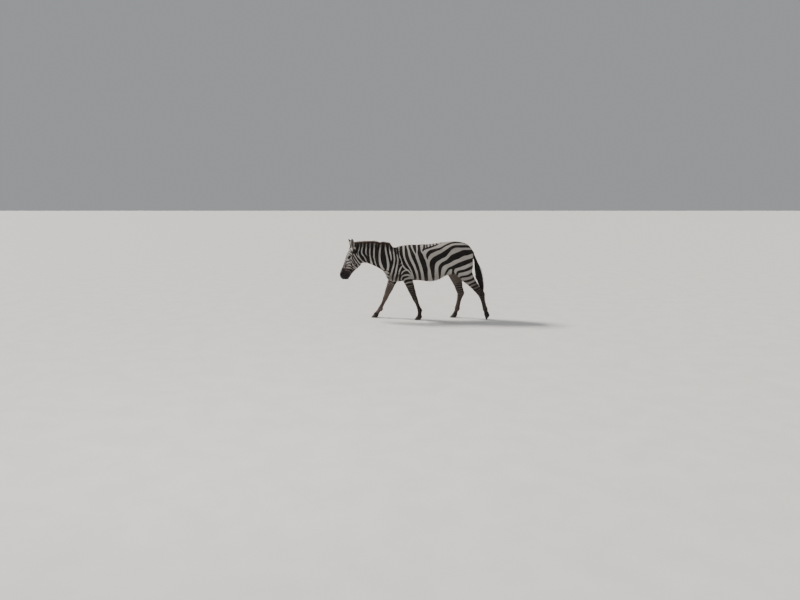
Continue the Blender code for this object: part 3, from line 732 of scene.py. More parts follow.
WHITE_STROKES = (           # places in the side view, half width
    ((-0.985, 1.33, .007), (-0.986, 1.27, .0065), (-0.992, 1.22, .006), (-1.003, 1.185, .0045)),
    ((-1.024, 1.14, .012), (-1.0, 1.10, .012), (-0.97, 1.047, .012), (-0.936, 1.0, .012),
     (-0.914, 0.968, .012)),
    ((-0.98, 1.148, .009), (-0.967, 1.113, .011), (-0.93, 1.073, .011), (-0.897, 1.034, .011),
     (-0.861, 0.999, .011), (-0.83, 0.975, .011)),
    ((-0.925, 1.34, .010), (-0.925, 1.27, .010), (-0.935, 1.21, .010), (-0.95, 1.16, .009),
     (-0.935, 1.10, .010), (-0.905, 1.05, .010), (-0.87, 1.01, .010), (-0.84, 0.99, .008)),
    ((-0.867, 1.34, .013), (-0.872, 1.27, .013), (-0.883, 1.22, .014), (-0.888, 1.17, .015),
     (-0.882, 1.14, .014), (-0.86, 1.11, .012), (-0.835, 1.075, .012), (-0.815, 1.03, .013),
     (-0.80, 0.99, .013), (-0.79, 0.95, .012)),
    ((-0.803, 1.34, .014), (-0.808, 1.27, .0145), (-0.815, 1.20, .015), (-0.813, 1.15, .013),
     (-0.80, 1.12, .009), (-0.793, 1.105, .004)),
    ((-0.74, 1.34, .014), (-0.742, 1.27, .014), (-0.747, 1.20, .015), (-0.748, 1.14, .015),
     (-0.742, 1.09, .015), (-0.733, 1.04, .017), (-0.725, 1.0, .018), (-0.715, 0.96, .018),
     (-0.705, 0.92, .017)),
    ((-0.665, 1.35, .015), (-0.668, 1.30, .016), (-0.673, 1.25, .0165), (-0.675, 1.20, .017),
     (-0.676, 1.14, .017), (-0.674, 1.08, .015), (-0.664, 1.03, .013), (-0.655, 0.99, .012),
     (-0.643, 0.95, .011), (-0.635, 0.91, .014), (-0.625, 0.87, .014)),
    ((-0.622, 1.35, .009), (-0.624, 1.27, .009), (-0.624, 1.24, .006)),
    ((-0.563, 1.35, .015), (-0.563, 1.28, .016), (-0.568, 1.24, .017), (-0.577, 1.18, .020),
     (-0.58, 1.12, .020), (-0.578, 1.06, .021), (-0.573, 1.01, .023), (-0.565, 0.97, .025),
     (-0.55, 0.93, .026), (-0.53, 0.89, .022), (-0.505, 0.87, .015)),
    ((-0.478, 1.35, .015), (-0.48, 1.27, .0155), (-0.475, 1.21, .018), (-0.465, 1.15, .019),
     (-0.453, 1.10, .019), (-0.443, 1.05, .021), (-0.434, 1.0, .024), (-0.43, 0.95, .024),
     (-0.435, 0.90, .022), (-0.445, 0.86, .020), (-0.46, 0.84, .018)),
    ((-0.413, 1.29, .012), (-0.41, 1.22, .0135), (-0.397, 1.16, .0145), (-0.385, 1.11, .0155),
     (-0.379, 1.06, .0135), (-0.378, 1.015, .006)),
    ((-0.350, 1.29, .010), (-0.348, 1.25, .011), (-0.343, 1.20, .0116), (-0.333, 1.14, .015),
     (-0.325, 1.09, .0168), (-0.323, 1.05, .0155), (-0.33, 0.99, .016), (-0.342, 0.93, .017),
     (-0.358, 0.88, .018), (-0.37, 0.83, .019), (-0.385, 0.785, .022), (-0.39, 0.75, .024),
     (-0.392, 0.66, .018)),
    ((-0.303, 1.29, .010), (-0.30, 1.265, .010), (-0.29, 1.21, .0075), (-0.285, 1.16, .008),
     (-0.275, 1.11, .013), (-0.265, 1.06, .016), (-0.265, 1.02, .0165), (-0.275, 0.96, .017),
     (-0.285, 0.91, .0175), (-0.295, 0.86, .018), (-0.305, 0.81, .018), (-0.32, 0.76, .018),
     (-0.335, 0.66, .014)),
    ((-0.248, 1.29, .012), (-0.247, 1.26, .012), (-0.245, 1.20, .009), (-0.24, 1.15, .010),
     (-0.232, 1.10, .013), (-0.215, 1.06, .012), (-0.20, 1.02, .011), (-0.19, 0.98, .012),
     (-0.175, 0.945, .013), (-0.15, 0.91, .014), (-0.12, 0.885, .014), (-0.09, 0.865, .014),
     (-0.065, 0.84, .013), (-0.045, 0.815, .012), (-0.025, 0.785, .012), (-0.008, 0.75, .011)),
    ((-0.203, 0.99, .007), (-0.225, 0.975, .008), (-0.245, 0.968, .006)),
    ((-0.188, 0.945, .012), (-0.211, 0.916, .015), (-0.227, 0.885, .016), (-0.24, 0.849, .014),
     (-0.247, 0.813, .012), (-0.25, 0.767, .012), (-0.26, 0.72, .014), (-0.268, 0.66, .012)),
    ((-0.17, 1.31, .017), (-0.168, 1.23, .019), (-0.165, 1.17, .019), (-0.16, 1.12, .018),
     (-0.15, 1.08, .016), (-0.135, 1.04, .015), (-0.117, 1.0, .015), (-0.095, 0.96, .0145),
     (-0.075, 0.93, .0135), (-0.055, 0.90, .012), (-0.04, 0.87, .012), (-0.025, 0.84, .010),
     (-0.018, 0.81, .011), (-0.008, 0.78, .012), (0.004, 0.74, .012)),
    ((-0.105, 1.31, .014), (-0.102, 1.28, .014), (-0.095, 1.24, .015), (-0.08, 1.20, .017),
     (-0.075, 1.17, .019), (-0.062, 1.12, .021), (-0.045, 1.07, .024), (-0.025, 1.03, .024),
     (-0.01, 1.0, .023), (0.01, 0.96, .022), (0.025, 0.92, .021), (0.04, 0.88, .021), (0.055, 0.84, .021),
     (0.067, 0.79, .020), (0.075, 0.74, .019), (0.08, 0.70, .019), (0.082, 0.66, .014)),
    ((-0.034, 1.31, .016), (-0.03, 1.28, .016), (-0.018, 1.24, .0145), (0.005, 1.19, .012),
     (0.025, 1.15, .012), (0.045, 1.12, .012), (0.052, 1.105, .012)),
    ((0.058, 1.32, .013), (0.063, 1.23, .014), (0.06, 1.19, .013), (0.058, 1.14, .016), (0.062, 1.10, .026),
     (0.075, 1.06, .024), (0.09, 1.02, .024), (0.105, 0.98, .024), (0.12, 0.94, .024), (0.13, 0.90, .025),
     (0.14, 0.86, .025), (0.15, 0.82, .025), (0.158, 0.78, .026), (0.165, 0.73, .026), (0.168, 0.69, .026),
     (0.17, 0.65, .020)),
    ((0.128, 1.32, .014), (0.135, 1.24, .014), (0.14, 1.20, .015), (0.155, 1.175, .018),
     (0.185, 1.14, .0245), (0.204, 1.09, .022), (0.227, 1.05, .027), (0.248, 1.008, .034),
     (0.258, 0.95, .030), (0.274, 0.90, .030), (0.276, 0.83, .032), (0.289, 0.75, .038), (0.30, 0.70, .040),
     (0.305, 0.64, .040)),
    ((-0.205, 0.80, .012), (-0.18, 0.845, .013), (-0.14, 0.865, .013), (-0.10, 0.87, .012)),
    ((-0.205, 0.70, .012), (-0.20, 0.74, .012), (-0.18, 0.77, .014), (-0.14, 0.785, .016),
     (-0.10, 0.79, .016), (-0.06, 0.78, .014), (-0.03, 0.765, .010)),
    ((-0.165, 0.68, .012), (-0.15, 0.71, .014), (-0.12, 0.725, .016), (-0.08, 0.735, .018),
     (-0.04, 0.735, .018), (0.0, 0.72, .014)),
    ((-0.135, 0.635, .012), (-0.10, 0.655, .013), (-0.05, 0.665, .013), (-0.01, 0.67, .012)),
)
BLACK_STROKES = (
    ((0.245, 1.06, .006), (0.237, 1.10, .018), (0.247, 1.14, .028), (0.28, 1.176, .030),
     (0.317, 1.192, .028), (0.36, 1.208, .024), (0.40, 1.220, .019), (0.444, 1.231, .015),
     (0.487, 1.252, .012), (0.53, 1.277, .011), (0.588, 1.304, .010), (0.656, 1.326, .009),
     (0.74, 1.336, .008), (0.83, 1.335, .008), (0.88, 1.326, .007), (0.95, 1.305, .005)),
    ((0.162, 1.185, .006), (0.172, 1.22, .015), (0.222, 1.236, .012), (0.27, 1.250, .012),
     (0.32, 1.266, .011), (0.37, 1.284, .009), (0.43, 1.304, .006)),
    ((0.175, 1.225, .014), (0.186, 1.26, .016), (0.19, 1.34, .016)),
    ((0.232, 1.245, .010), (0.236, 1.34, .013)),
    ((0.286, 1.262, .010), (0.293, 1.35, .012)),
    ((0.338, 1.276, .009), (0.350, 1.35, .011)),
    ((0.392, 1.293, .007), (0.412, 1.35, .009)),
    ((0.470, 1.318, .004), (0.50, 1.35, .008)),
    ((0.362, 0.62, .010), (0.356, 0.66, .015), (0.350, 0.70, .017), (0.343, 0.75, .022),
     (0.335, 0.80, .027), (0.329, 0.87, .033), (0.321, 0.94, .043), (0.326, 1.0, .050),
     (0.362, 1.052, .047), (0.415, 1.084, .045), (0.465, 1.113, .042), (0.52, 1.140, .043),
     (0.56, 1.175, .036), (0.60, 1.21, .028), (0.64, 1.245, .022), (0.70, 1.27, .019), (0.76, 1.274, .017),
     (0.85, 1.272, .017), (0.93, 1.268, .015), (0.98, 1.26, .014), (1.01, 1.235, .012), (1.03, 1.20, .008)),
    ((0.470, 0.63, .008), (0.462, 0.68, .012), (0.457, 0.72, .014), (0.455, 0.76, .016),
     (0.452, 0.81, .021), (0.45, 0.87, .026), (0.458, 0.925, .030), (0.483, 0.965, .031),
     (0.52, 0.992, .031), (0.57, 1.012, .033), (0.62, 1.045, .040), (0.66, 1.08, .047), (0.70, 1.10, .050),
     (0.75, 1.118, .051), (0.80, 1.142, .046), (0.85, 1.163, .046), (0.90, 1.168, .043),
     (0.95, 1.173, .036), (1.0, 1.178, .028), (1.04, 1.165, .018), (1.06, 1.15, .010)),
    ((0.548, 0.765, .010), (0.555, 0.80, .015), (0.572, 0.84, .017), (0.595, 0.88, .018),
     (0.63, 0.905, .019), (0.67, 0.915, .024), (0.72, 0.935, .031), (0.78, 0.962, .035), (0.85, 0.99, .036),
     (0.92, 1.016, .034), (1.0, 1.042, .028), (1.05, 1.055, .022), (1.08, 1.06, .018)),
    ((0.70, 0.915, .014), (0.688, 0.88, .016), (0.682, 0.845, .014), (0.69, 0.81, .020),
     (0.70, 0.78, .030)),
    ((0.757, 0.79, .012), (0.757, 0.82, .014), (0.775, 0.843, .018), (0.81, 0.852, .020),
     (0.86, 0.862, .019), (0.91, 0.88, .021), (0.96, 0.90, .022), (1.01, 0.925, .020), (1.045, 0.945, .014),
     (1.06, 0.953, .006)),
    ((0.80, 0.725, .012), (0.815, 0.745, .015), (0.85, 0.761, .014), (0.90, 0.767, .015),
     (0.95, 0.78, .018), (1.0, 0.806, .019), (1.035, 0.823, .017), (1.055, 0.832, .008)),
    ((0.87, 0.675, .012), (0.91, 0.678, .016), (0.95, 0.688, .016), (1.0, 0.705, .017), (1.04, 0.726, .017),
     (1.06, 0.738, .010)),
    ((0.97, 0.61, .013), (1.0, 0.632, .013), (1.05, 0.65, .013), (1.085, 0.665, .013)),
    ((1.01, 0.565, .012), (1.05, 0.585, .012), (1.10, 0.605, .012), (1.125, 0.62, .012)),
    ((1.05, 0.52, .012), (1.10, 0.535, .012), (1.15, 0.56, .012)),
)
DIVIDER = (                             # height, place along the body
    (0.5, 0.31), (0.70, 0.30), (0.83, 0.276), (0.93, 0.262), (1.008, 0.248), (1.05, 0.227),
    (1.09, 0.204), (1.14, 0.185), (1.20, 0.14), (1.29, 0.13), (1.40, 0.13),
)
HEAD_EDGE = (                           # the same for where the bands of head and neck meet
    (0.955, -0.930), (1.0, -0.962), (1.047, -0.993), (1.087, -1.02), (1.12, -1.04), (1.15, -1.045),
    (1.2, -1.04),
)
LIPS_LEVEL = 0.62                       # the head hangs no lower than this
FACE_STROKES = (                        # down the head, round it, half width
    ((0.084, 0.127, .010), (0.117, 0.155, .011), (0.164, 0.213, .012), (0.193, 0.255, .012),
     (0.222, 0.296, .012)),
    ((0.157, 0.137, .007), (0.186, 0.179, .009), (0.219, 0.211, .009), (0.235, 0.25, .008)),
    ((0.315, 0.052, .005), (0.24, 0.069, .007), (0.222, 0.1035, .008), (0.195, 0.12, .007)),
    ((0.330, 0.055, .005), (0.282, 0.085, .007), (0.259, 0.14, .009), (0.283, 0.18, .008),
     (0.29, 0.22, .007)),
    ((0.350, 0.058, .005), (0.313, 0.088, .007), (0.305, 0.152, .009), (0.322, 0.204, .008),
     (0.335, 0.24, .006)),
    ((0.382, 0.040, .008), (0.366, 0.09, .010), (0.359, 0.15, .011), (0.376, 0.20, .010),
     (0.396, 0.218, .009), (0.42, 0.25, .009)),
    ((0.035, 0.012, .0035), (0.10, 0.012, .0042), (0.20, 0.0115, .0042), (0.34, 0.009, .0032)),
    ((0.055, 0.030, .0035), (0.10, 0.034, .0042), (0.20, 0.031, .0045), (0.34, 0.023, .0035)),
    ((0.085, 0.053, .0035), (0.12, 0.056, .0042), (0.20, 0.053, .0048), (0.27, 0.045, .0045),
     (0.345, 0.036, .0035)),
    ((0.015, 0.010, .005), (0.03, 0.05, .0055), (0.05, 0.10, .006), (0.0755, 0.183, .008),
     (0.103, 0.215, .008)),
    ((0.05, 0.022, .0045), (0.06, 0.06, .005), (0.07, 0.10, .006), (0.084, 0.127, .008)),
    ((0.10, 0.065, .004), (0.105, 0.10, .0055), (0.125, 0.13, .006), (0.157, 0.15, .007)),
    ((0.132, 0.075, .003), (0.128, 0.095, .0035), (0.140, 0.115, .0035)),
    ((0.185, 0.072, .003), (0.187, 0.092, .004), (0.178, 0.112, .004)),
    ((0.245, 0.235, .006), (0.262, 0.265, .007), (0.29, 0.29, .006)),
    ((0.182, 0.125, .005), (0.205, 0.155, .0065), (0.236, 0.190, .007), (0.262, 0.228, .006),
     (0.275, 0.262, .006)),
    ((0.345, 0.165, .0045), (0.352, 0.205, .006), (0.368, 0.245, .006)),
    ((0.222, 0.128, .004), (0.240, 0.150, .005), (0.262, 0.168, .0045)),
    ((0.400, 0.075, .004), (0.392, 0.13, .006), (0.404, 0.185, .006)),
    ((-0.02, 0.15, .006), (0.02, 0.19, .007), (0.06, 0.235, .007)),
)
STROKE_REACH = 0.06         # places further than this from every stroke are all alike


def stroke_depth(places, strokes):
    """How deep each place lies inside the nearest stroke; below zero outside all of them."""
    depth = np.full(len(places), -STROKE_REACH)
    for stroke in strokes:
        rows = smooth_rows(stroke, 3)
        low, high = rows[:, :2].min(axis=0) - STROKE_REACH, rows[:, :2].max(axis=0) + STROKE_REACH
        near = np.flatnonzero(((places > low) & (places < high)).all(axis=1))
        picked, best = places[near], depth[near]
        for start, end in zip(rows, rows[1:]):
            step = end[:2] - start[:2]
            offset = picked - start[:2]
            share = np.clip(offset @ step / (step @ step), 0, 1)
            gap = np.hypot(offset[:, 0] - share * step[0], offset[:, 1] - share * step[1])
            best = np.maximum(best, start[2] + (end[2] - start[2]) * share - gap)
        depth[near] = best
    return depth


def in_head(x, z, wave=0.0):
    """True on the head's side of the edge where its bands meet those of the neck."""
    return (x < read_table(HEAD_EDGE, z) + wave) & (z > LIPS_LEVEL)


def repeating(phase, share):
    """Bars that fill a share of each whole step of the phase, above zero inside them."""
    return share - np.abs(phase - np.floor(phase) - 0.5)


FORE_SHIFT, HIND_SHIFT = 0.22, 0.165    # how far ahead the right legs carry their bands
BOLDER = 0.0015                         # black is this much wider at each edge than it is drawn
BOLDER_END = 0.0025                     # and this much more on the haunch and before the shoulder


def body_bands(x, y, z):
    """Bands of neck, trunk and haunch. The right side has its own set, a little different, and
    shifted where its legs stand elsewhere."""
    right = smoothstep(0.0, 0.06, y)
    fore_shift = FORE_SHIFT * (1 - smoothstep(0.68, 1.0, z)) * (1 - smoothstep(0.0, 0.25, x))
    fore_shift *= smoothstep(-0.62, -0.45, x)
    hind_shift = HIND_SHIFT * (1 - smoothstep(0.78, 1.08, z)) * smoothstep(0.38, 0.6, x)
    own = 0.013 * np.sin(8 * z + 5 * x + 1.0) + 0.008 * np.sin(19 * z - 7 * x)
    across = x + right * (fore_shift + hind_shift + own)
    up = z + right * 0.012 * np.sin(9 * x + 2.0)
    places = np.stack((across, up), axis=1)
    back = across > read_table(DIVIDER, up)
    bolder = BOLDER + BOLDER_END * smoothstep(0.40, 0.65, x) + BOLDER_END * smoothstep(-0.10, -0.25, x)
    return bolder + np.where(back, stroke_depth(places, BLACK_STROKES), -stroke_depth(places, WHITE_STROKES))


LEG_STARTS = {"fore": 0.30, "hind": 0.66}       # how far down the leg its rings begin
LEG_SHIFTS = {"left": 0.0, "right": 0.37}       # so that no two legs have their rings at one height
HIND_LEG_SHIFT = 0.21       # in parts of a ring, as above
RINGS_PER_METRE, RINGS_CLOSER = 25.0, 20.0      # where the rings begin, and how fast they draw together


def leg_rings(leg, down, ahead, out):
    """Rings that narrow down the leg, slanted, wider in black outside and in front."""
    shift = LEG_SHIFTS[leg[1]] + (HIND_LEG_SHIFT if leg[0] == "hind" else 0.0)
    slant = 0.20 * ahead + 0.005 * np.sin(70 * out + 9 * shift)
    slant = slant + 0.003 * np.sin(31 * down + 40 * ahead + 5 * shift)
    run = down + slant - LEG_STARTS[leg[0]]
    lower = np.maximum(run, 0)
    phase = RINGS_PER_METRE * run + RINGS_CLOSER * lower ** 2 + shift
    period = 1 / (RINGS_PER_METRE + 2 * RINGS_CLOSER * lower)
    share = 0.315 + 0.045 * np.sin(np.floor(phase) * 12.9898 + 3 * shift)
    share += 0.05 * smoothstep(0.05, 0.35, lower)
    share -= 0.14 * smoothstep(0.0, 0.025, -out)
    return repeating(phase, share) * period


CHEST_BAR = 0.066           # from one bar across the chest to the next
BELLY_LINE = 0.011          # half the width of the dark line under the belly
BACK_LINE = 0.0095          # and of the line along the back
TAIL_BARS, TAIL_BAR = 13, 0.030     # bars along the dock, and from one to the next


def mark_trunk(look, points, facing):
    """Bars across the chest, a pale belly with a dark line, the dark line of the back, and a
    throat with less black."""
    x, y, z = side_view(points).T
    stripe = look["stripe"]
    chest = smoothstep(0.45, 0.80, -facing[:, 0]) * smoothstep(-0.36, -0.42, x) * smoothstep(1.10, 0.95, z)
    chest *= (x > -0.95)
    bars = repeating((z + 0.35 * np.abs(y)) / CHEST_BAR, 0.15) * CHEST_BAR
    stripe += (bars - stripe) * chest
    under = smoothstep(0.82, 1.0, -facing[:, 2]) * smoothstep(0.80, 0.72, z)
    under *= (x > -0.45) & (x < 1.0) & (z > 0.60)
    stripe -= 0.014 * under
    belly = (z < 0.85) & (z > 0.60) & (x > -0.30) & (x < 0.62) & (facing[:, 2] < -0.2)
    stripe = np.where(belly, np.maximum(stripe, BELLY_LINE - np.abs(y)), stripe)
    back = (z > 1.20) & (x > -0.36) & (x < 1.02) & (facing[:, 2] > 0.2)
    ridge = BACK_LINE + 0.003 * np.sin(11 * x) - np.abs(y)
    stripe = np.where(back, np.maximum(stripe, ridge), stripe)
    throat = smoothstep(0.65, 0.95, -facing[:, 2]) * (x > -0.95) * (x < -0.45) * (z > 0.70)
    look["stripe"] = stripe + (0.7 * stripe - 0.004 - stripe) * throat


def mark_leg(look, points, leg):
    """Rings down a leg, plain inside at the top, duskier downwards, with bare skin over the hoof."""
    mask = np.flatnonzero(on_leg(points, leg))
    stripe, dusk, bare, tan = (look[name][mask] for name in ("stripe", "dusk", "bare", "tan"))
    down, ahead, out = leg_map(points[mask], leg)
    start = LEG_STARTS[leg[0]]
    rings = leg_rings(leg, down, ahead, out)
    inner = smoothstep(0.01, -0.03, out)
    on_it = smoothstep(0.16, 0.12, np.abs(ahead))
    share = smoothstep(start - 0.03, start + 0.03, down) * on_it
    if leg[0] == "hind":
        within = inner * on_it
        share = np.maximum(share, within * smoothstep(0.48, 0.54, down))
        stripe -= 0.030 * (within * smoothstep(0.27, 0.37, down) * (1 - share))
        # Down the inside of a hind leg, between the legs, the white is greyed: painted shade
        dusk += 0.70 * smoothstep(0.24, 0.36, down) * within
        dusk += 0.56 * smoothstep(0.50, 0.64, down) * (1 - inner)
    else:
        dusk += (0.66 - 0.16 * inner) * smoothstep(start - 0.05, start + 0.10, down) * on_it
        rings -= 0.003 * inner
    stripe += (rings - stripe) * share
    stripe -= 0.004 * inner * (1 - share)
    lower = smoothstep(start, start + 0.40, down)
    coronet = leg_joints(leg)[3]
    look["stripe"][mask] = stripe
    look["dusk"][mask] = dusk + 0.10 * lower
    look["tan"][mask] = tan + 0.15 * lower
    look["bare"][mask] = np.maximum(bare, 0.88 * smoothstep(coronet - 0.052, coronet - 0.022, down))


def mark_tail(look, points, facing):
    """Bars and a dark line along the dock, and the bare skin under its root."""
    x, y, z = side_view(points).T
    gap, share = to_polyline(np.stack((x, z), axis=1), TAIL_LINE)
    tail = (gap < 0.045) & (np.abs(y) < 0.034) & (x > 1.0) & (z < 1.20)
    bars = repeating(share * TAIL_BARS, 0.20) * TAIL_BAR
    spine = (facing[:, 0] - 0.55) * 0.012
    look["stripe"] = np.where(tail, np.maximum(bars, spine), look["stripe"])
    vent = bell(x - 1.005, 0.030) * bell(z - 1.12, 0.045) * smoothstep(0.045, 0.02, np.abs(y))
    vent *= facing[:, 0] > 0.2
    look["bare"] = np.maximum(look["bare"], np.where(tail, 0, vent))


def mark_face(look, points):
    """The fine stripes of the face, its dusky bridge and cheeks, the bare dark muzzle and lids."""
    x, _, z = side_view(points).T
    mask = np.flatnonzero(in_head(x, z, 0.006 * np.sin(75 * z) * smoothstep(1.15, 1.19, z)))
    down, round_it, _ = head_map(points[mask])
    face = stroke_depth(np.stack((down, round_it), axis=1), FACE_STROKES)
    face = np.maximum(face, np.where(down < 0.33, 0.0030 - round_it, -0.01))
    look["stripe"][mask] = face + 0.0010 + 0.0016 * smoothstep(0.10, 0.18, round_it)
    front = 1 - smoothstep(0.03, 0.10, round_it)
    cheek = smoothstep(0.10, 0.20, round_it)
    bridge = 0.30 * smoothstep(0.28, 0.34, down)
    look["dusk"][mask] = 0.10 + bridge + 0.50 * smoothstep(0.335, 0.370, down) + 0.30 * cheek
    look["tan"][mask] = 0.10 + 0.75 * front * smoothstep(0.26, 0.36, down)
    edge = 0.408 - 0.050 * front + 0.010 * np.sin(40 * round_it)
    bare = smoothstep(edge - 0.014, edge + 0.010, down)
    straight = head_straight(points[mask])
    for side in SIDES:
        along, rise, ring, near = eye_ring(straight, side)
        eye = np.where(near, smoothstep(2.0, 1.45, ring), 0)
        # Dark patches run on from both corners of the eye
        for tilt, corner, high, long in ((-0.003, 0.022, 0.005, 0.012), (0.006, -0.026, 0.009, 0.014)):
            patch = 0.9 * bell(rise - tilt, high) * bell(along - corner, long)
            eye = np.maximum(eye, np.where(near, patch, 0))
        bare = np.maximum(bare, eye)
    look["bare"][mask] = bare


def mark_ear(look, points, side):
    """A black tip, rim and band on the back of an ear, with a dusky cup."""
    own = ear_own(points, side)
    share = own[:, 2] / EAR_LENGTH
    radius, wrap = ear_size(share)
    spread = np.hypot(own[:, 0], own[:, 1])
    ear = (share > 0.04) & (share < 1.1) & (spread < radius + 0.02) & (side_view(points)[:, 0] < -0.95)
    inner = (spread < radius - 0.4 * EAR_WALL) & ear
    rim = (wrap - np.abs(np.arctan2(own[:, 1], own[:, 0]))) * radius
    tip = (share - 0.74) * EAR_LENGTH
    band = 0.014 - np.abs(share - 0.36) * EAR_LENGTH + 0.004 * np.sin(5 * own[:, 1] / radius)
    stripe = np.minimum(np.maximum(tip, band), np.where(share < 0.80, rim - 0.007, 1))
    stripe = np.where(inner, (share - 0.88) * EAR_LENGTH, stripe)
    bare = np.where(inner, 0.55 * smoothstep(0.004, 0.012, rim), 0)
    dusk = np.where(inner, 0.45, 0.05)
    for name, value in (("stripe", stripe), ("dusk", dusk), ("bare", bare), ("tan", 0.25)):
        look[name] = np.where(ear, value, look[name])


def marks(points, normals):
    """What the coat shows at each point: stripe, the distance inside black in metres; dusk, bare and
    tan, the shares of a dusky, a bare dark and a brown tint. In places the dusk is painted shade."""
    x, y, z = side_view(points).T
    facing = unit_rows(normals)
    # Dusk by the elbow, between the chest and the foreleg: partly dirt, partly painted shade
    elbow_dirt_and_shade = 0.45 * bell(x + 0.385, 0.06) * bell(z - 0.745, 0.06)
    look = {
        "stripe": body_bands(x, y, z),
        "dusk": 0.10 + 0.38 * smoothstep(0.93, 0.69, z) + elbow_dirt_and_shade,
        "bare": np.zeros(len(points)),
        "tan": 0.12 + 0.25 * smoothstep(0.9, 1.3, z) * (x > 0.1),
    }
    mark_trunk(look, points, facing)
    for leg in LEGS:
        mark_leg(look, points, leg)
    mark_tail(look, points, facing)
    mark_face(look, points)
    for side in SIDES:
        mark_ear(look, points, side)
    for name in ("dusk", "bare", "tan"):
        look[name] = np.clip(look[name], 0, 1)
    return look


def give_marks(mesh, values):
    """Stores each set of values as an attribute of the points."""
    for name, value in values.items():
        layer = mesh.attributes.new(name, "FLOAT", "POINT")
        layer.data.foreach_set("value", np.ascontiguousarray(value, dtype=np.float32))


points, normals = points_of(hide.data), normals_of(hide.data)
give_marks(hide.data, marks(points, normals))


def feed(tree, socket, value):
    """Joins a socket to an output, or sets its own value."""
    if hasattr(value, "is_output"):
        tree.links.new(value, socket)
    else:
        socket.default_value = value


def object_place(tree):
    return tree.nodes.new("ShaderNodeTexCoord").outputs["Object"]


def math_node(tree, operation, first, second=0.0, third=0.0):
    node = tree.nodes.new("ShaderNodeMath")
    node.operation = operation
    for socket, value in zip(node.inputs, (first, second, third)):
        feed(tree, socket, value)
    return node.outputs[0]


def ramp_node(tree, value, low, high, bottom=0.0, top=1.0):
    """A smooth change from bottom to top while the value goes from low to high."""
    node = tree.nodes.new("ShaderNodeMapRange")
    node.interpolation_type = "SMOOTHSTEP"
    names = ("Value", "From Min", "From Max", "To Min", "To Max")
    for name, given in zip(names, (value, low, high, bottom, top)):
        feed(tree, node.inputs[name], given)
    return node.outputs["Result"]


def mix_node(tree, share, first, second, blend="MIX"):
    node = tree.nodes.new("ShaderNodeMix")
    node.data_type = "RGBA"
    node.blend_type = blend
    feed(tree, node.inputs["Factor"], share)
    sockets = [s for s in node.inputs if s.type == "RGBA"]
    for socket, value in zip(sockets, (first, second)):
        feed(tree, socket, value)
    return [s for s in node.outputs if s.type == "RGBA"][0]


def noise_node(tree, where, scale, detail=2.0, stretch=None):
    if stretch is not None:
        mapping = tree.nodes.new("ShaderNodeMapping")
        mapping.inputs["Scale"].default_value = stretch
        tree.links.new(where, mapping.inputs["Vector"])
        where = mapping.outputs["Vector"]
    node = tree.nodes.new("ShaderNodeTexNoise")
    node.inputs["Scale"].default_value = scale
    node.inputs["Detail"].default_value = detail
    tree.links.new(where, node.inputs["Vector"])
    return node.outputs["Fac"]


def attribute_node(tree, name):
    node = tree.nodes.new("ShaderNodeAttribute")
    node.attribute_name = name
    return node.outputs["Fac"]


WHITE = (0.555, 0.538, 0.512, 1)
DIRTY = (0.37, 0.325, 0.275, 1)             # white hair with dust and straw in it
DUSKY = (0.088, 0.067, 0.060, 1)
BROWN = (0.19, 0.105, 0.062, 1)
BLACK = (0.0085, 0.0070, 0.0070, 1)
BROWN_BLACK = (0.022, 0.0135, 0.0105, 1)    # black hair bleached by the sun
BARE = (0.021, 0.0155, 0.017, 1)
EDGE_SOFT = 0.0014          # half the width over which black turns to white

# One group for the colours of the coat, which hide, tufts, mane and tail all wear
coat_group = bpy.data.node_groups.new("coat_colour", "ShaderNodeTree")
for name, usual in (("Stripe", 0.0), ("Dusk", 0.0), ("Bare", 0.0), ("Tan", 0.0), ("Shade", 0.5)):
    socket = coat_group.interface.new_socket(name=name, in_out="INPUT", socket_type="NodeSocketFloat")
    socket.default_value = usual
coat_group.interface.new_socket(name="Color", in_out="OUTPUT", socket_type="NodeSocketColor")
tree = coat_group
entry, leave = tree.nodes.new("NodeGroupInput"), tree.nodes.new("NodeGroupOutput")
place = object_place(tree)
wander = math_node(tree, "SUBTRACT", noise_node(tree, place, 38.0, 2.0), 0.5)
fringe = math_node(tree, "SUBTRACT", noise_node(tree, place, 420.0, 3.0), 0.5)
fringe = math_node(tree, "MULTIPLY", fringe, 0.004)
shift = math_node(tree, "MULTIPLY_ADD", wander, 0.006, fringe)
edge = math_node(tree, "ADD", entry.outputs["Stripe"], shift)
black = ramp_node(tree, edge, -EDGE_SOFT, EDGE_SOFT)
dirt = ramp_node(tree, noise_node(tree, place, 5.5, 5.0), 0.42, 0.72, 0.0, 0.42)
speck = ramp_node(tree, noise_node(tree, place, 85.0, 4.0), 0.40, 0.75, 0.0, 0.30)
soil = math_node(tree, "ADD", dirt, speck)
white = mix_node(tree, soil, WHITE, DIRTY)
dusk = math_node(tree, "MULTIPLY", entry.outputs["Dusk"], 0.94)
white = mix_node(tree, dusk, white, DUSKY)
white = mix_node(tree, math_node(tree, "MULTIPLY", entry.outputs["Tan"], 0.55), white, BROWN)
rust = ramp_node(tree, noise_node(tree, place, 9.0, 3.0), 0.42, 0.75)
dark = mix_node(tree, rust, BLACK, BROWN_BLACK)
mixed = mix_node(tree, black, white, dark)
mixed = mix_node(tree, entry.outputs["Bare"], mixed, BARE)
# Shade brightens or darkens the colour: a random tone, and on tufts, mane and tail painted shade towards the
# roots and painted light towards the tips
light = ramp_node(tree, entry.outputs["Shade"], 0.0, 1.0, 0.80, 1.16)
grey = tree.nodes.new("ShaderNodeCombineColor")
for socket in grey.inputs:
    tree.links.new(light, socket)
coloured = mix_node(tree, 1.0, mixed, grey.outputs[0], "MULTIPLY")
tree.links.new(coloured, leave.inputs["Color"])


def new_material(name, settings):
    """A material, its node tree and its shader, with the shader's plain numbers set."""
    material = bpy.data.materials.new(name)
    material.use_nodes = True
    shader = material.node_tree.nodes["Principled BSDF"]
    for socket, value in settings.items():
        shader.inputs[socket].default_value = value
    return material, material.node_tree, shader


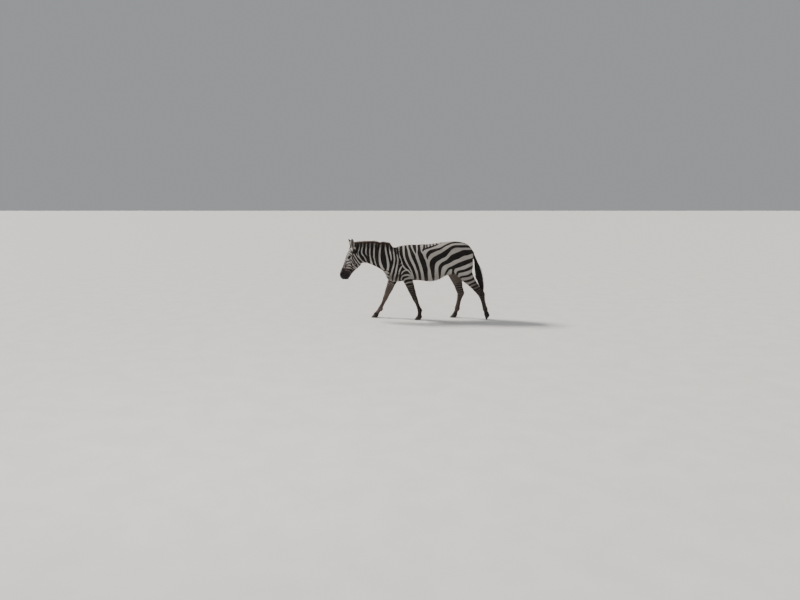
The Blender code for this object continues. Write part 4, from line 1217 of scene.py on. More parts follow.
def coat_nodes(tree, shader, names=("Stripe", "Dusk", "Bare", "Tan")):
    """The markings group, joined to the attributes of the same names."""
    group = tree.nodes.new("ShaderNodeGroup")
    group.node_tree = coat_group
    for name in names:
        feed(tree, group.inputs[name], attribute_node(tree, name.lower()))
    tree.links.new(group.outputs["Color"], shader.inputs["Base Color"])
    return group


HAIR_NAMES = ("Stripe", "Dusk", "Bare", "Tan", "Shade")     # what tufts and strands carry


def bump_node(tree, shader, height, distance, strength=1.0):
    bump = tree.nodes.new("ShaderNodeBump")
    bump.inputs["Distance"].default_value = distance
    bump.inputs["Strength"].default_value = strength
    tree.links.new(height, bump.inputs["Height"])
    tree.links.new(bump.outputs["Normal"], shader.inputs["Normal"])


hide_material, tree, shader = new_material("short_striped_coat", {
    "Specular IOR Level": 0.16, "Sheen Weight": 0.05, "Sheen Roughness": 0.4})
coat_nodes(tree, shader)
place = object_place(tree)
lying = noise_node(tree, place, 1.0, 2.0, (110, 620, 420))      # fine lines along the body
hanging = noise_node(tree, place, 1.0, 2.0, (560, 560, 120))    # and down the legs and the face
pores = noise_node(tree, place, 1100.0, 2.0)
upright = attribute_node(tree, "upright")
bare_share = attribute_node(tree, "bare")


def blended(tree, first, second, share):
    """The first value, changing to the second with the share."""
    kept = math_node(tree, "MULTIPLY", first, math_node(tree, "SUBTRACT", 1.0, share))
    return math_node(tree, "ADD", kept, math_node(tree, "MULTIPLY", second, share))


hair = blended(tree, lying, hanging, upright)
height = blended(tree, hair, math_node(tree, "MULTIPLY", pores, 0.5), bare_share)
bump_node(tree, shader, height, 0.0016, 0.8)
tree.links.new(ramp_node(tree, bare_share, 0.0, 1.0, 0.62, 0.46), shader.inputs["Roughness"])
hide.data.materials.clear()
hide.data.materials.append(hide_material)


def lie_of(points, normals):
    """The way the hair lies: back over neck and trunk, down the face and legs, up the ears."""
    x, y, z = side_view(points).T
    fall = -0.30 - 0.35 * smoothstep(0.10, 0.24, np.abs(y))
    lie = np.stack((np.ones(len(x)), np.zeros(len(x)), fall), axis=1)
    neck = smoothstep(-0.35, -0.55, x)[:, None]
    lie += neck * (np.array((0.75, 0.0, -0.75)) - lie)
    haunch = (smoothstep(0.62, 0.95, x) * smoothstep(1.25, 1.0, z))[:, None]
    lie += haunch * (np.array((0.35, 0.0, -1.0)) - lie)
    legs = smoothstep(0.86, 0.66, z)[:, None] * (np.abs(y) > 0.04)[:, None] * (x > LEGS_FROM)[:, None]
    shin = np.where(x < LEGS_PARTED, 0.15, -0.05)[:, None] * np.array((1.0, 0, 0)) + np.array((0, 0, -1.0))
    lie += legs * (shin - lie)
    _, _, out = head_map(points)
    cheek = smoothstep(0.03, -0.05, out)[:, None]
    face = np.array((HEAD_WAY[0], 0, HEAD_WAY[1])) * (1 - cheek) + cheek * np.array((0.35, 0, -0.94))
    lie = np.where(in_head(x, z)[:, None], face, lie)
    tail = (x > 1.02) & (np.abs(y) < 0.034)
    lie = np.where(tail[:, None], np.array((0.3, 0, -0.95)), lie)
    for side in SIDES:
        own = ear_own(points, side)
        ear = (own[:, 2] > 0.008) & (np.hypot(own[:, 0], own[:, 1]) < 0.055) & (x < -0.95)
        lie = np.where(ear[:, None], ear_place(side)[0][:, 2], lie)
    lie -= normals * (lie * normals).sum(axis=1)[:, None]
    return unit_rows(lie)


give_marks(hide.data, {"upright": np.abs(lie_of(points, normals)[:, 2])})
hide.data.shade_smooth()


def unwrap(piece):
    """Unwraps all of the piece by its own shape."""
    activate(piece)
    with edit_mode():
        bpy.ops.mesh.select_all(action="SELECT")
        bpy.ops.uv.smart_project(angle_limit=1.15, island_margin=0.003)


hide.data.uv_layers.active = hide.data.uv_layers.new(name="OFBake")     # the name that corners_of reads
unwrap(hide)
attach(hide, "root")
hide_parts(*FLESH, *EARS)

# ------------------------------------------------------------
# Coat. Short flat hair over the whole hide, in small pointed tufts that lie along the body and
# overlap like slates. It is shortest on the face and feet, and comes in six pieces.

REGIONS = (
    # name, tufts, length, width, in the order that region_of counts them
    ("coat_head", 31000, 0.0062, 0.0015),
    ("coat_neck", 31000, 0.0110, 0.0023),
    ("coat_barrel", 32500, 0.0125, 0.0029),
    ("coat_haunch", 32500, 0.0120, 0.0028),
    ("coat_forelegs", 31000, 0.0085, 0.0018),
    ("coat_hindlegs", 31000, 0.0085, 0.0020),
)
TUFT_LIFT = 0.085           # height of a tip over the hide, as a share of the length
TUFT_SINK = 0.0004
PATCH = 0.0015              # half the width of a tuft's patch on the unwrap


def region_of(points):
    """Which of the regions each point belongs to."""
    x, _, z = side_view(points).T
    head = in_head(x, z)
    legs = (z < 0.70) & ~head
    region = np.where(x < -0.36, 1, np.where(x < 0.42, 2, 3))
    region = np.where(legs, np.where(x < LEGS_PARTED, 4, 5), region)
    return np.where(head, 0, region)


def corners_of(mesh):
    """Triangles of a mesh as vertex numbers, and their corners' places on the unwrap."""
    mesh.calc_loop_triangles()
    faces = np.empty(len(mesh.loop_triangles) * 3, np.int32)
    loops = faces.copy()
    mesh.loop_triangles.foreach_get("vertices", faces)
    mesh.loop_triangles.foreach_get("loops", loops)
    flat = np.empty(len(mesh.loops) * 2)
    mesh.uv_layers["OFBake"].data.foreach_get("uv", flat)
    return faces.reshape(-1, 3), flat.reshape(-1, 2)[loops.reshape(-1, 3)]


def scatter(points, normals, faces, places, count, seed):
    """Roots spread evenly over the area: their points, normals and places on the unwrap."""
    generator = np.random.default_rng(seed)
    a, b, c = points[faces[:, 0]], points[faces[:, 1]], points[faces[:, 2]]
    area = np.linalg.norm(np.cross(b - a, c - a), axis=1)
    run = np.cumsum(area)
    steps = (np.arange(count) + generator.random(count)) / count * run[-1]
    picked = np.minimum(np.searchsorted(run, steps), len(faces) - 1)
    one, two = generator.random(count), generator.random(count)
    fold = one + two > 1
    one, two = np.where(fold, 1 - one, one), np.where(fold, 1 - two, two)
    weight = np.stack((1 - one - two, one, two), axis=1)[:, :, None]
    roots = (points[faces[picked]] * weight).sum(axis=1)
    ups = (normals[faces[picked]] * weight).sum(axis=1)
    return roots, unit_rows(ups), (places[picked] * weight).sum(axis=1)


def mesh_piece(name, points, faces, values, places, material):
    """A piece from arrays: points, triangles, attributes of the points and their unwrap."""
    mesh = bpy.data.meshes.new(name)
    mesh.vertices.add(len(points))
    mesh.vertices.foreach_set("co", np.ascontiguousarray(points, dtype=np.float32).reshape(-1))
    mesh.loops.add(len(faces) * 3)
    mesh.loops.foreach_set("vertex_index", np.ascontiguousarray(faces, dtype=np.int32).reshape(-1))
    mesh.polygons.add(len(faces))
    mesh.polygons.foreach_set("loop_start", np.arange(0, len(faces) * 3, 3, dtype=np.int32))
    mesh.update(calc_edges=True)
    mesh.validate()
    give_marks(mesh, values)
    corners = np.ascontiguousarray(places[faces.reshape(-1)], dtype=np.float32)
    mesh.uv_layers.new(name="OFBake").data.foreach_set("uv", corners.reshape(-1))
    mesh.materials.append(material)
    mesh.shade_smooth()
    piece = new_object(name, mesh)
    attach(piece, "root")
    return piece


tuft_material, tree, shader = new_material("coat_tufts", {
    "Roughness": 0.58, "Specular IOR Level": 0.18, "Sheen Weight": 0.06})
coat_nodes(tree, shader, HAIR_NAMES)

# A tuft has its root, two sides, a raised middle and its tip
TUFT_FACES = np.array(((0, 3, 1), (0, 2, 3), (1, 3, 4), (3, 2, 4), (0, 1, 2), (1, 4, 2)))
# Each tuft is darker at its root, where its neighbours cover it, and lighter at its tip: painted shade and
# painted light
TUFT_PAINTED_SHADE_AND_LIGHT = np.array((-0.22, 0.0, 0.0, 0.06, 0.16))
TUFT_PATCH = np.array(((0, -1), (-1, 0), (1, 0), (0, 0.1), (0, 1))) * PATCH


def tufts(name, points, normals, faces, places, count, length, width, seed):
    """Tufts all over the given faces, bent along the lie of the coat and marked as the hide is."""
    generator = np.random.default_rng(seed)
    roots, ups, spots = scatter(points, normals, faces, places, count, seed)
    ways = lie_of(roots, ups)
    aside = np.cross(ups, ways)
    turn = generator.normal(0, 0.16, count)[:, None]
    ways = ways * np.cos(turn) + aside * np.sin(turn)
    aside = np.cross(ups, ways)
    if name == "coat_head":
        down, _, out = head_map(roots)
        short = 1.0 - 0.40 * smoothstep(0.25, 0.42, down) + 0.35 * smoothstep(0.02, -0.10, out)
    else:
        short = 1.0 - 0.25 * smoothstep(0.5, 0.1, side_view(roots)[:, 2])
    long = (length * short * generator.uniform(0.75, 1.25, count))[:, None]
    wide = (width * generator.uniform(0.75, 1.25, count))[:, None]
    lift = long * TUFT_LIFT * generator.uniform(0.6, 1.5, count)[:, None]
    middle = roots + ways * long * 0.42
    blade = np.stack((
        roots - ups * TUFT_SINK - ways * long * 0.08,
        middle - aside * wide / 2 + ups * lift * 0.15,
        middle + aside * wide / 2 + ups * lift * 0.15,
        middle + ups * (lift * 0.55 + wide * 0.13),
        roots + ways * long + ups * lift,
    ), axis=1)
    values = marks(roots, ups)
    ahead = marks(roots + ways * long * 0.8, ups)["stripe"]
    jitter = generator.normal(0, 0.0013, count)
    near, far = values.pop("stripe") + jitter, ahead + jitter
    middle_value = (near + far) / 2
    stripe = np.stack((near, middle_value, middle_value, middle_value, far), axis=1)
    # A random tone for each tuft, plus painted shade at the root and painted light at the tip
    shade = np.clip(generator.normal(0.5, 0.20, count), 0, 1)[:, None] + TUFT_PAINTED_SHADE_AND_LIGHT
    repeated = {key: np.repeat(value, 5) for key, value in values.items()}
    repeated.update({"stripe": stripe.reshape(-1), "shade": shade.reshape(-1)})
    spots = spots[:, None] + TUFT_PATCH
    index = (np.arange(count) * 5)[:, None, None] + TUFT_FACES
    piece = mesh_piece(name, blade.reshape(-1, 3), index.reshape(-1, 3), repeated, spots.reshape(-1, 2),
                       tuft_material)


def keep_off(points):
    """The places where no hair grows: the lids, the nostrils and the lips."""
    straight = head_straight(points)
    bald = np.zeros(len(points), bool)
    for side in SIDES:
        _, _, ring, near = eye_ring(straight, side)
        nostril = (straight - on_side(NOSTRIL, side)) * (1, 1, 0.55)
        bald |= ((ring < 1.45) & near) | (np.linalg.norm(nostril, axis=1) < 0.015)
    lips = to_polyline(straight[:, (0, 2)], MOUTH)[0] < 0.005
    return bald | (lips & (straight[:, 2] < 0.80))


bpy.context.view_layer.update()
hide_region = region_of(centres_of(hide.data))
for number, (name, count, length, width) in enumerate(REGIONS):
    # The region's own faces and unwrap, on a copy of the hide that is removed again
    mesh = hide.data.copy()
    patch = new_object(name + "_base", mesh)
    away = hide_region != number
    if name == "coat_head":
        away |= keep_off(centres_of(mesh))
    select_only(patch, away)
    with edit_mode():
        bpy.ops.mesh.delete(type="FACE")
    unwrap(patch)
    faces, places = corners_of(mesh)
    tufts(name, points_of(mesh), normals_of(mesh), faces, places, count, length, width, 100 + number)
    bpy.data.objects.remove(patch)

# ------------------------------------------------------------
# Mane. A stiff upright brush from between the ears to the withers. Its locks carry on the bands of
# the neck and end in dark brown tips, and the foremost ones fall between the ears as a forelock.

MANE = (                    # place along the neck, height of the tips
    (-1.098, 1.236), (-1.084, 1.278), (-1.045, 1.334), (-0.975, 1.358), (-0.780, 1.370), (-0.657, 1.373),
    (-0.590, 1.352), (-0.570, 1.343), (-0.523, 1.360), (-0.425, 1.338), (-0.388, 1.300), (-0.368, 1.262),
)
MANE_LOCKS = 5200
MANE_STEPS = 5
MANE_HALF = 0.020           # half the width of the strip that it grows from
MANE_ROOT = 0.006           # how deep the roots stand in the skin
BEND_FROM = -0.50           # the neck bends to the left from here to the head
SIDEWAYS = (0.0, 1.0, 0.0)  # the mane is marked like skin that faces the right


def neck_turned(points):
    """Takes points of the unbent neck and head to the frame."""
    x, y, z = points.T
    length = BEND_FROM - HEAD_PIVOT
    share = np.clip((BEND_FROM - x) / length, 0, 1)
    angle = HEAD_TURN * share * share * (3 - 2 * share)
    swing = HEAD_TURN * length * (share ** 3 - share ** 4 / 2)
    beyond = np.maximum(HEAD_PIVOT - x, 0)
    return np.stack((x - y * np.sin(angle) + beyond * (1 - np.cos(angle)) - SIDE_ORIGIN,
                     y * np.cos(angle) - swing - beyond * np.sin(angle), z * STATURE), axis=1)


def strand_arrays(paths, widths, sideways, flat):
    """Three-sided strands along the paths, pointed at the tip: points and triangles."""
    count, length, _ = paths.shape
    ways = unit_rows(np.gradient(paths, axis=1))
    side = unit_rows(sideways[:, None] - ways * (ways * sideways[:, None]).sum(axis=2, keepdims=True))
    up = np.cross(ways, side)
    turns = math.pi / 2 + np.arange(3) * 2 * math.pi / 3
    reach = widths[:, :, None, None]
    rings = paths[:, :, None] + reach * (np.cos(turns)[:, None] * side[:, :, None]
                                         + flat * np.sin(turns)[:, None] * up[:, :, None])
    points = np.concatenate((rings[:, :-1].reshape(count, -1, 3), paths[:, -1:]), axis=1)
    faces = [(0, 2, 1)]
    for low in range(0, 3 * (length - 2), 3):
        for i in range(3):
            j = (i + 1) % 3
            faces += [(low + i, low + j, low + 3 + j), (low + i, low + 3 + j, low + 3 + i)]
    last = 3 * (length - 2)
    faces += [(last + i, last + (i + 1) % 3, last + 3) for i in range(3)]
    index = (np.arange(count) * points.shape[1])[:, None, None] + np.array(faces)
    return points.reshape(-1, 3), index.reshape(-1, 3)


def per_point(values):
    """Values given at each step of each strand, repeated for the points of its rings."""
    return np.concatenate((np.repeat(values[:, :-1], 3, axis=1), values[:, -1:]), axis=1).reshape(-1)


def map_cells(order, count, length):
    """A patch of the unwrap for every strand, in rows and columns by where its root stands."""
    columns = int(math.ceil(math.sqrt(count)))
    cell = 1 / columns
    spot = np.empty(count, int)
    spot[order] = np.arange(count)
    corner = np.stack((spot // columns, spot % columns), axis=1) * cell
    along = np.linspace(0.12, 0.88, length) * cell
    across = np.array((0.2, 0.5, 0.8)) * cell
    rings = corner[:, None, None] + np.stack(np.broadcast_arrays(across[None, :], along[:-1, None]), axis=2)
    tips = corner[:, None] + np.array((0.5 * cell, along[-1]))
    return np.concatenate((rings.reshape(count, -1, 2), tips), axis=1).reshape(-1, 2)


def strand_piece(name, paths, widths, sideways, order, flat=1.0, **values):
    """One piece of strands. Its values are given at each step of each strand, or for all of them."""
    count, length, _ = paths.shape
    points, faces = strand_arrays(paths, widths, sideways, flat)
    given = {key: per_point(np.broadcast_to(value, (count, length))) for key, value in values.items()}
    return mesh_piece(name, points, faces, given, map_cells(order, count, length), hair_material)


hair_material, tree, shader = new_material("mane_hair", {"Roughness": 0.45, "Specular IOR Level": 0.45})
group = coat_nodes(tree, shader, HAIR_NAMES)
ginger = ramp_node(tree, noise_node(tree, object_place(tree), 60.0, 3.0), 0.45, 0.75)
tip_colour = mix_node(tree, ginger, (0.034, 0.018, 0.012, 1), (0.115, 0.058, 0.032, 1))
hair_colour = mix_node(tree, attribute_node(tree, "tip"), group.outputs["Color"], tip_colour)
tree.links.new(hair_colour, shader.inputs["Base Color"])

# The roots stand in even steps along the crest, where a ray from above meets the skin
generator = np.random.default_rng(21)
surface = mathutils.bvhtree.BVHTree.FromPolygons(
    points_of(hide.data).tolist(), [tuple(p.vertices) for p in hide.data.polygons])
spread = generator.uniform(-1, 1, MANE_LOCKS)
first, last = MANE[0][0], MANE[-1][0]
start = first + (last - first) * (np.arange(MANE_LOCKS) + generator.random(MANE_LOCKS)) / MANE_LOCKS
taper = 0.30 + 0.70 * smoothstep(first, -1.04, start) * smoothstep(last, -0.46, start)
roots = np.stack((start, spread * MANE_HALF * taper, np.full(MANE_LOCKS, 1.30)), axis=1)
roots = neck_turned(roots)
for root in roots:
    hit = surface.ray_cast(mathutils.Vector((root[0], root[1], 1.34)), mathutils.Vector((0, 0, -1)))[0]
    root[2] = hit.z - MANE_ROOT

# The locks clump, lean a little to all sides, and fall forwards between the ears
clump = 0.5 + 0.5 * np.sin(start * 190 + 3 * np.sin(start * 57)) * np.cos(spread * 2.2)
tops = read_table(MANE, start) * STATURE
tops += (-0.006 - 0.016 * clump * generator.random(MANE_LOCKS) - 0.010 * spread ** 2
         + 0.004 * generator.random(MANE_LOCKS))
front = smoothstep(-1.02, -1.09, start)
height = np.maximum(tops - roots[:, 2], 0.03) * (1 - 0.35 * front)
lean_x = generator.normal(0.0, 0.09, MANE_LOCKS) - 0.10
lean_x = lean_x + 0.30 * smoothstep(-0.60, -0.40, start) - 0.45 * front
lean_y = spread * 0.10 + generator.normal(0, 0.05, MANE_LOCKS)
steps = np.linspace(0, 1, MANE_STEPS)
paths = roots[:, None] + height[:, None, None] * np.stack((
    lean_x[:, None] * steps ** 1.4,
    lean_y[:, None] * steps + 0.030 * np.sin(start[:, None] * 400) * steps ** 2,
    np.broadcast_to(steps, (MANE_LOCKS, MANE_STEPS)) - 0.16 * front[:, None] * steps ** 2,
), axis=2)
widths = generator.uniform(0.0017, 0.0026, MANE_LOCKS)[:, None] * np.array((1.0, 1.05, 0.9, 0.6, 0.0))
sideways = np.tile(np.array((1.0, 0.3, 0.0)), (MANE_LOCKS, 1))
sideways[:, 1] += generator.normal(0, 0.4, MANE_LOCKS)

# Each lock has the band that its root stands in, carried on upwards
places = paths.reshape(-1, 3) - (0, 0, 0.010)
places[:, 1] = np.repeat(roots[:, 1], MANE_STEPS)
stripe = marks(places, np.tile(SIDEWAYS, (len(places), 1)))["stripe"]
stripe = stripe + np.repeat(generator.normal(0, 0.0025, MANE_LOCKS), MANE_STEPS)
above = tops[:, None] - paths[:, :, 2]
tip = smoothstep(0.056, 0.024, above + generator.normal(0, 0.008, MANE_LOCKS)[:, None])
tip = np.maximum(tip, 0.85 * smoothstep(-1.04, -1.075, start)[:, None])
# A random tone for each lock, darker at its root and lighter up the lock: painted shade deep in the brush
shade = np.clip(generator.normal(0.5, 0.22, MANE_LOCKS), 0, 1)[:, None] + 0.2 * steps - 0.15
mane = strand_piece("mane_locks", paths, widths, sideways, np.argsort(start), 0.6,
                    stripe=stripe.reshape(-1, MANE_STEPS), dusk=0.25, tan=0.30, bare=0.0,
                    tip=tip, shade=shade)
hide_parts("mane")

# ------------------------------------------------------------
# Tail tuft. Long coarse hair that hangs from the last third of the dock, black with brown ends.

TAIL = (                    # place, height, half depth and half width of the tuft on its way down
    (1.034, 1.160, 0.018, 0.020),
    (1.052, 1.110, 0.019, 0.022),
    (1.070, 1.050, 0.019, 0.023),
    (1.085, 0.995, 0.024, 0.024),
    (1.105, 0.920, 0.034, 0.028),
    (1.126, 0.860, 0.043, 0.033),
    (1.138, 0.800, 0.050, 0.037),
    (1.150, 0.745, 0.052, 0.038),
    (1.170, 0.690, 0.048, 0.037),
    (1.188, 0.625, 0.041, 0.034),
    (1.204, 0.555, 0.034, 0.030),
    (1.212, 0.490, 0.025, 0.023),
    (1.218, 0.430, 0.013, 0.012),
)
TAIL_STRANDS = 2300
TAIL_STEPS = 9
BLACK_HAIR, WHITE_HAIR = 0.02, -0.02        # hair of one colour, this far from any edge

generator = np.random.default_rng(22)
rows = smooth_rows(TAIL, 6)
run = np.concatenate(([0.0], np.cumsum(np.linalg.norm(np.diff(rows[:, :2], axis=0), axis=1))))
begin = generator.uniform(0.0, 1.0, TAIL_STRANDS) ** 0.8 * 0.50
end = begin + generator.uniform(0.30, 0.70, TAIL_STRANDS)
end = np.minimum(end, generator.uniform(0.70, 1.0, TAIL_STRANDS))
end = np.maximum(end, begin + 0.24)
angle = generator.uniform(0, 2 * math.pi, TAIL_STRANDS)
radius = np.sqrt(generator.uniform(0.05, 1.0, TAIL_STRANDS))
stray = generator.uniform(0, 1, TAIL_STRANDS) > 0.95
radius[stray] *= generator.uniform(1.15, 1.6, stray.sum())
steps = np.linspace(0, 1, TAIL_STEPS)
share = begin[:, None] + (end - begin)[:, None] * steps
row = [np.interp(share * run[-1], run, rows[:, i]) for i in range(4)]
fan = 0.55 + 0.45 * smoothstep(0.0, 0.25, steps)
swirl = angle[:, None] + 0.7 * (share - 0.4) + 0.22 * np.sin(7 * share + 5 * radius[:, None])
wave = 0.004 * np.sin(share * 26 + angle[:, None] * 3) * steps
depth = row[2] * radius[:, None] * fan * np.cos(swirl) + wave
across = row[3] * radius[:, None] * fan * np.sin(swirl) + wave * 0.6
paths = np.stack((row[0] + depth - SIDE_ORIGIN, across, (row[1] + 0.35 * depth) * STATURE), axis=2)
widths = generator.uniform(0.0012, 0.0021, TAIL_STRANDS)[:, None] * (1 - 0.6 * steps ** 2)
sideways = generator.normal(0, 1, (TAIL_STRANDS, 3))
lengths = np.broadcast_to(steps, paths.shape[:2])
tip = smoothstep(0.55, 1.05, lengths) * generator.uniform(0.3, 1.0, TAIL_STRANDS)[:, None]
# A random tone for each strand, darker where it starts and lighter towards its end: painted shade inside the
# tuft
shade = np.clip(generator.normal(0.5, 0.25, TAIL_STRANDS), 0, 1)[:, None] + 0.1 * lengths
tuft = strand_piece("tail_strands", paths, widths, sideways, np.argsort(begin),
                    stripe=BLACK_HAIR, dusk=0.0, tan=0.0, bare=0.0, tip=tip, shade=shade)
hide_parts("tail_tuft")

# ------------------------------------------------------------
# Eyes. Glass eyes as a taxidermist sets them: a dark brown ball with a wide level pupil, a clear
# swelling over the iris, and a wet shine.

IRIS = 0.0145               # radius of the iris
PUPIL = (0.0088, 0.0044)    # half length and half height of the pupil
SWELLING = 0.0011           # how far the clear front stands out over the iris
BEHIND = 2.0                # what the back of the ball counts as, outside iris and pupil

eye_material, tree, shader = new_material("glass_eye", {
    "Roughness": 0.10, "Coat Weight": 0.25, "Coat Roughness": 0.02, "Specular IOR Level": 0.3})
ring = attribute_node(tree, "iris")
streaks = noise_node(tree, object_place(tree), 900.0, 3.0)
iris = mix_node(tree, streaks, (0.012, 0.006, 0.004, 1), (0.034, 0.016, 0.008, 1))
iris = mix_node(tree, ramp_node(tree, ring, 0.80, 0.98), iris, (0.006, 0.004, 0.004, 1))
around_pupil = ramp_node(tree, attribute_node(tree, "pupil"), 0.90, 1.10)
seen = mix_node(tree, around_pupil, (0.004, 0.004, 0.006, 1), iris)
seen = mix_node(tree, ramp_node(tree, ring, 1.05, 1.22), seen, (0.030, 0.019, 0.016, 1))
tree.links.new(seen, shader.inputs["Base Color"])

for side in SIDES:
    centre, out, _, _ = eye_frame(side)
    bpy.ops.mesh.primitive_uv_sphere_add(segments=64, ring_count=32, radius=EYE_RADIUS, location=(0, 0, 0))
    eye = bpy.context.object
    eye.name = "eyeball_" + side
    own = points_of(eye.data)
    flat_way = unit_across(np.array((-1.0, 0.0, -0.25)), out)
    rise_way = np.cross(out, flat_way)
    lateral = np.hypot(own[:, 0], own[:, 1])
    front = own[:, 2] > 0
    own[:, 2] += np.where(front, SWELLING * (1 - smoothstep(0.6, 1.15, lateral / IRIS)), 0)
    straight = centre + own[:, :1] * flat_way + own[:, 1:2] * rise_way + own[:, 2:] * out
    set_points(eye.data, head_turned(straight))
    give_marks(eye.data, {
        "iris": np.where(front, lateral / IRIS, BEHIND),
        "pupil": np.where(front, np.hypot(own[:, 0] / PUPIL[0], own[:, 1] / PUPIL[1]), BEHIND),
    })
    face_outwards(eye)
    eye.data.shade_smooth()
    eye.data.materials.append(eye_material)
    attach(eye, "root")
    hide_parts("eye_" + side)

# ------------------------------------------------------------
# Fine hair. Lashes on the upper lids, whiskers on lips and chin, hair in the cups of the ears, and
# the short fringe behind each fetlock.

LASHES, WHISKERS, EAR_HAIRS, FETLOCK_HAIRS = 62, 46, 900, 200       # on each side, or each leg
FINE_STEPS = 5
HAIR_ROOT = 0.001           # how deep whiskers and fetlock hairs stand in the skin

grown = {"roots": [], "ways": [], "sizes": [], "looks": []}


def grow(roots, ways, lengths, widths, sag, shade, pale):
    """Adds fine hairs: roots, ways out, lengths, widths, how much they bend down, and their look."""
    grown["roots"].append(roots)
    grown["ways"].append(unit_rows(ways))
    grown["sizes"].append(np.stack((lengths, widths, sag), axis=1))
    grown["looks"].append(np.stack((shade, pale), axis=1))


def grow_lashes(side):
    centre, out, corner, up = eye_frame(side)
    turn = np.linspace(0.25, 2.75, LASHES) + generator.normal(0, 0.03, LASHES)
    lid = OPENING[1] * (1 + 0.10 * np.cos(turn))
    along, rise = OPENING[0] * 1.05 * np.cos(turn), lid * 1.08 * np.sin(turn)
    lateral = np.hypot(along, rise)
    height = np.sqrt((EYE_RADIUS + LID) ** 2 - lateral ** 2) + 0.0004
    roots = centre + along[:, None] * corner + rise[:, None] * up + height[:, None] * out
    ways = 0.75 * out + 0.45 * up + (along / OPENING[0] * 0.35)[:, None] * corner
    ways = ways + generator.normal(0, 0.06, (LASHES, 3))
    tips = head_turned(roots + ways * 0.001)
    roots = head_turned(roots)
    grow(roots, tips - roots, generator.uniform(0.014, 0.021, LASHES), np.full(LASHES, 0.00028),
         generator.uniform(0.25, 0.55, LASHES), np.full(LASHES, 0.4), np.zeros(LASHES))


def grow_whiskers(side):
    """Single whiskers, each where a ray from beside the lips meets the skin."""
    picks = np.stack((generator.uniform(-1.235, -1.165, WHISKERS), np.full(WHISKERS, 0.2) * SIDES[side],
                      generator.uniform(0.700, 0.765, WHISKERS)), axis=1)
    for start_point, end_point in zip(head_turned(picks), head_turned(picks * (1, 0, 1))):
        aim = mathutils.Vector(end_point - start_point).normalized()
        hit, normal, _, _ = surface.ray_cast(mathutils.Vector(start_point), aim)
        if hit is None:
            continue
        way = np.array(normal) + generator.normal(0, 0.22, 3) + (-0.15, 0, -0.35)
        grow(np.array([hit]) - np.array([normal]) * HAIR_ROOT, way[None], generator.uniform(0.016, 0.042, 1),
             np.array([0.00022]), generator.uniform(0.1, 0.5, 1), np.array([0.5]), np.zeros(1))


def grow_ear_hair(side):
    """Pale hair from the inner wall of an ear, densest at its edges, that leans over the cup."""
    share = generator.uniform(0.12, 0.93, EAR_HAIRS)
    radius, wrap = ear_size(share)
    radius = radius - EAR_WALL * 0.7
    turn = np.sign(generator.uniform(-1, 1, EAR_HAIRS)) * wrap
    turn = turn * (1 - generator.uniform(0.0, 0.85, EAR_HAIRS) ** 1.6)
    own = np.stack((radius * np.cos(turn), radius * np.sin(turn), share * EAR_LENGTH), axis=1)
    inward = np.stack((-np.cos(turn) - 0.9, -np.sin(turn), np.full(EAR_HAIRS, 0.9)), axis=1)
    inward += generator.normal(0, 0.20, (EAR_HAIRS, 3))
    to_head, root = ear_place(side)
    roots = head_turned(own @ to_head.T + root)
    tips = head_turned((own + inward * 0.001) @ to_head.T + root)
    grow(roots, tips - roots, generator.uniform(0.014, 0.030, EAR_HAIRS), np.full(EAR_HAIRS, 0.0005),
         np.zeros(EAR_HAIRS), generator.uniform(0.3, 1.0, EAR_HAIRS), np.full(EAR_HAIRS, 0.85))


def grow_fetlock(leg):
    """The short fringe behind a fetlock, each hair where a ray from behind meets the skin."""
    fetlock, coronet = np.array(LEGS[leg])[3:]
    place_on = fetlock + (coronet - fetlock) * generator.uniform(-0.15, 0.45, FETLOCK_HAIRS)[:, None]
    across = SIDES[leg[1]] * LEG_OUT + generator.uniform(-0.014, 0.014, FETLOCK_HAIRS)
    picks = np.stack((place_on[:, 0] + 0.10 - SIDE_ORIGIN, across, place_on[:, 1] * STATURE), axis=1)
    for pick in picks:
        hit, normal, _, _ = surface.ray_cast(mathutils.Vector(pick), mathutils.Vector((-1, 0, 0)), 0.2)
        if hit is None:
            continue
        way = 0.28 * np.array(normal) + np.array((0.12, 0, -1.0)) + generator.normal(0, 0.07, 3)
        grow(np.array([hit]) - np.array([normal]) * HAIR_ROOT, way[None], generator.uniform(0.008, 0.017, 1),
             np.array([0.0006]), generator.uniform(0.0, 0.2, 1), generator.uniform(0.1, 0.8, 1),
             np.array([0.25]))


generator = np.random.default_rng(23)
for side in SIDES:
    grow_lashes(side)
    grow_whiskers(side)
    grow_ear_hair(side)
for leg in LEGS:
    grow_fetlock(leg)

roots, ways, sizes, looks = (np.concatenate(grown[name]) for name in ("roots", "ways", "sizes", "looks"))
steps = np.linspace(0, 1, FINE_STEPS)[:, None]
sag = np.array((0, 0, -1.0)) * sizes[:, 2, None, None] * steps ** 2
paths = roots[:, None] + sizes[:, 0, None, None] * (ways[:, None] * steps + sag)
widths = sizes[:, 1, None] * np.array((1.0, 1.0, 0.8, 0.5, 0.0))
sideways = generator.normal(0, 1, (len(roots), 3))
fine = strand_piece("fine_hair", paths, widths, sideways, np.arange(len(roots)),
                    stripe=np.where(looks[:, 1:] > 0.5, WHITE_HAIR, BLACK_HAIR),
                    dusk=0.15, tan=0.30, bare=0.0, tip=0.0, shade=looks[:, :1])

# ------------------------------------------------------------
# Hooves. Small narrow hooves of dark horn, ringed as they grew, with a pale worn edge at the toe
# and a soft band where they meet the hair.

HOOF_RINGS = 0.0065         # from one growth ring to the next
RING_DEPTH = 0.00045
HOOF_GRAIN = 0.0022
SOLE_SINK = 0.0008          # how far the sole goes back down to the floor, which smoothing took it from

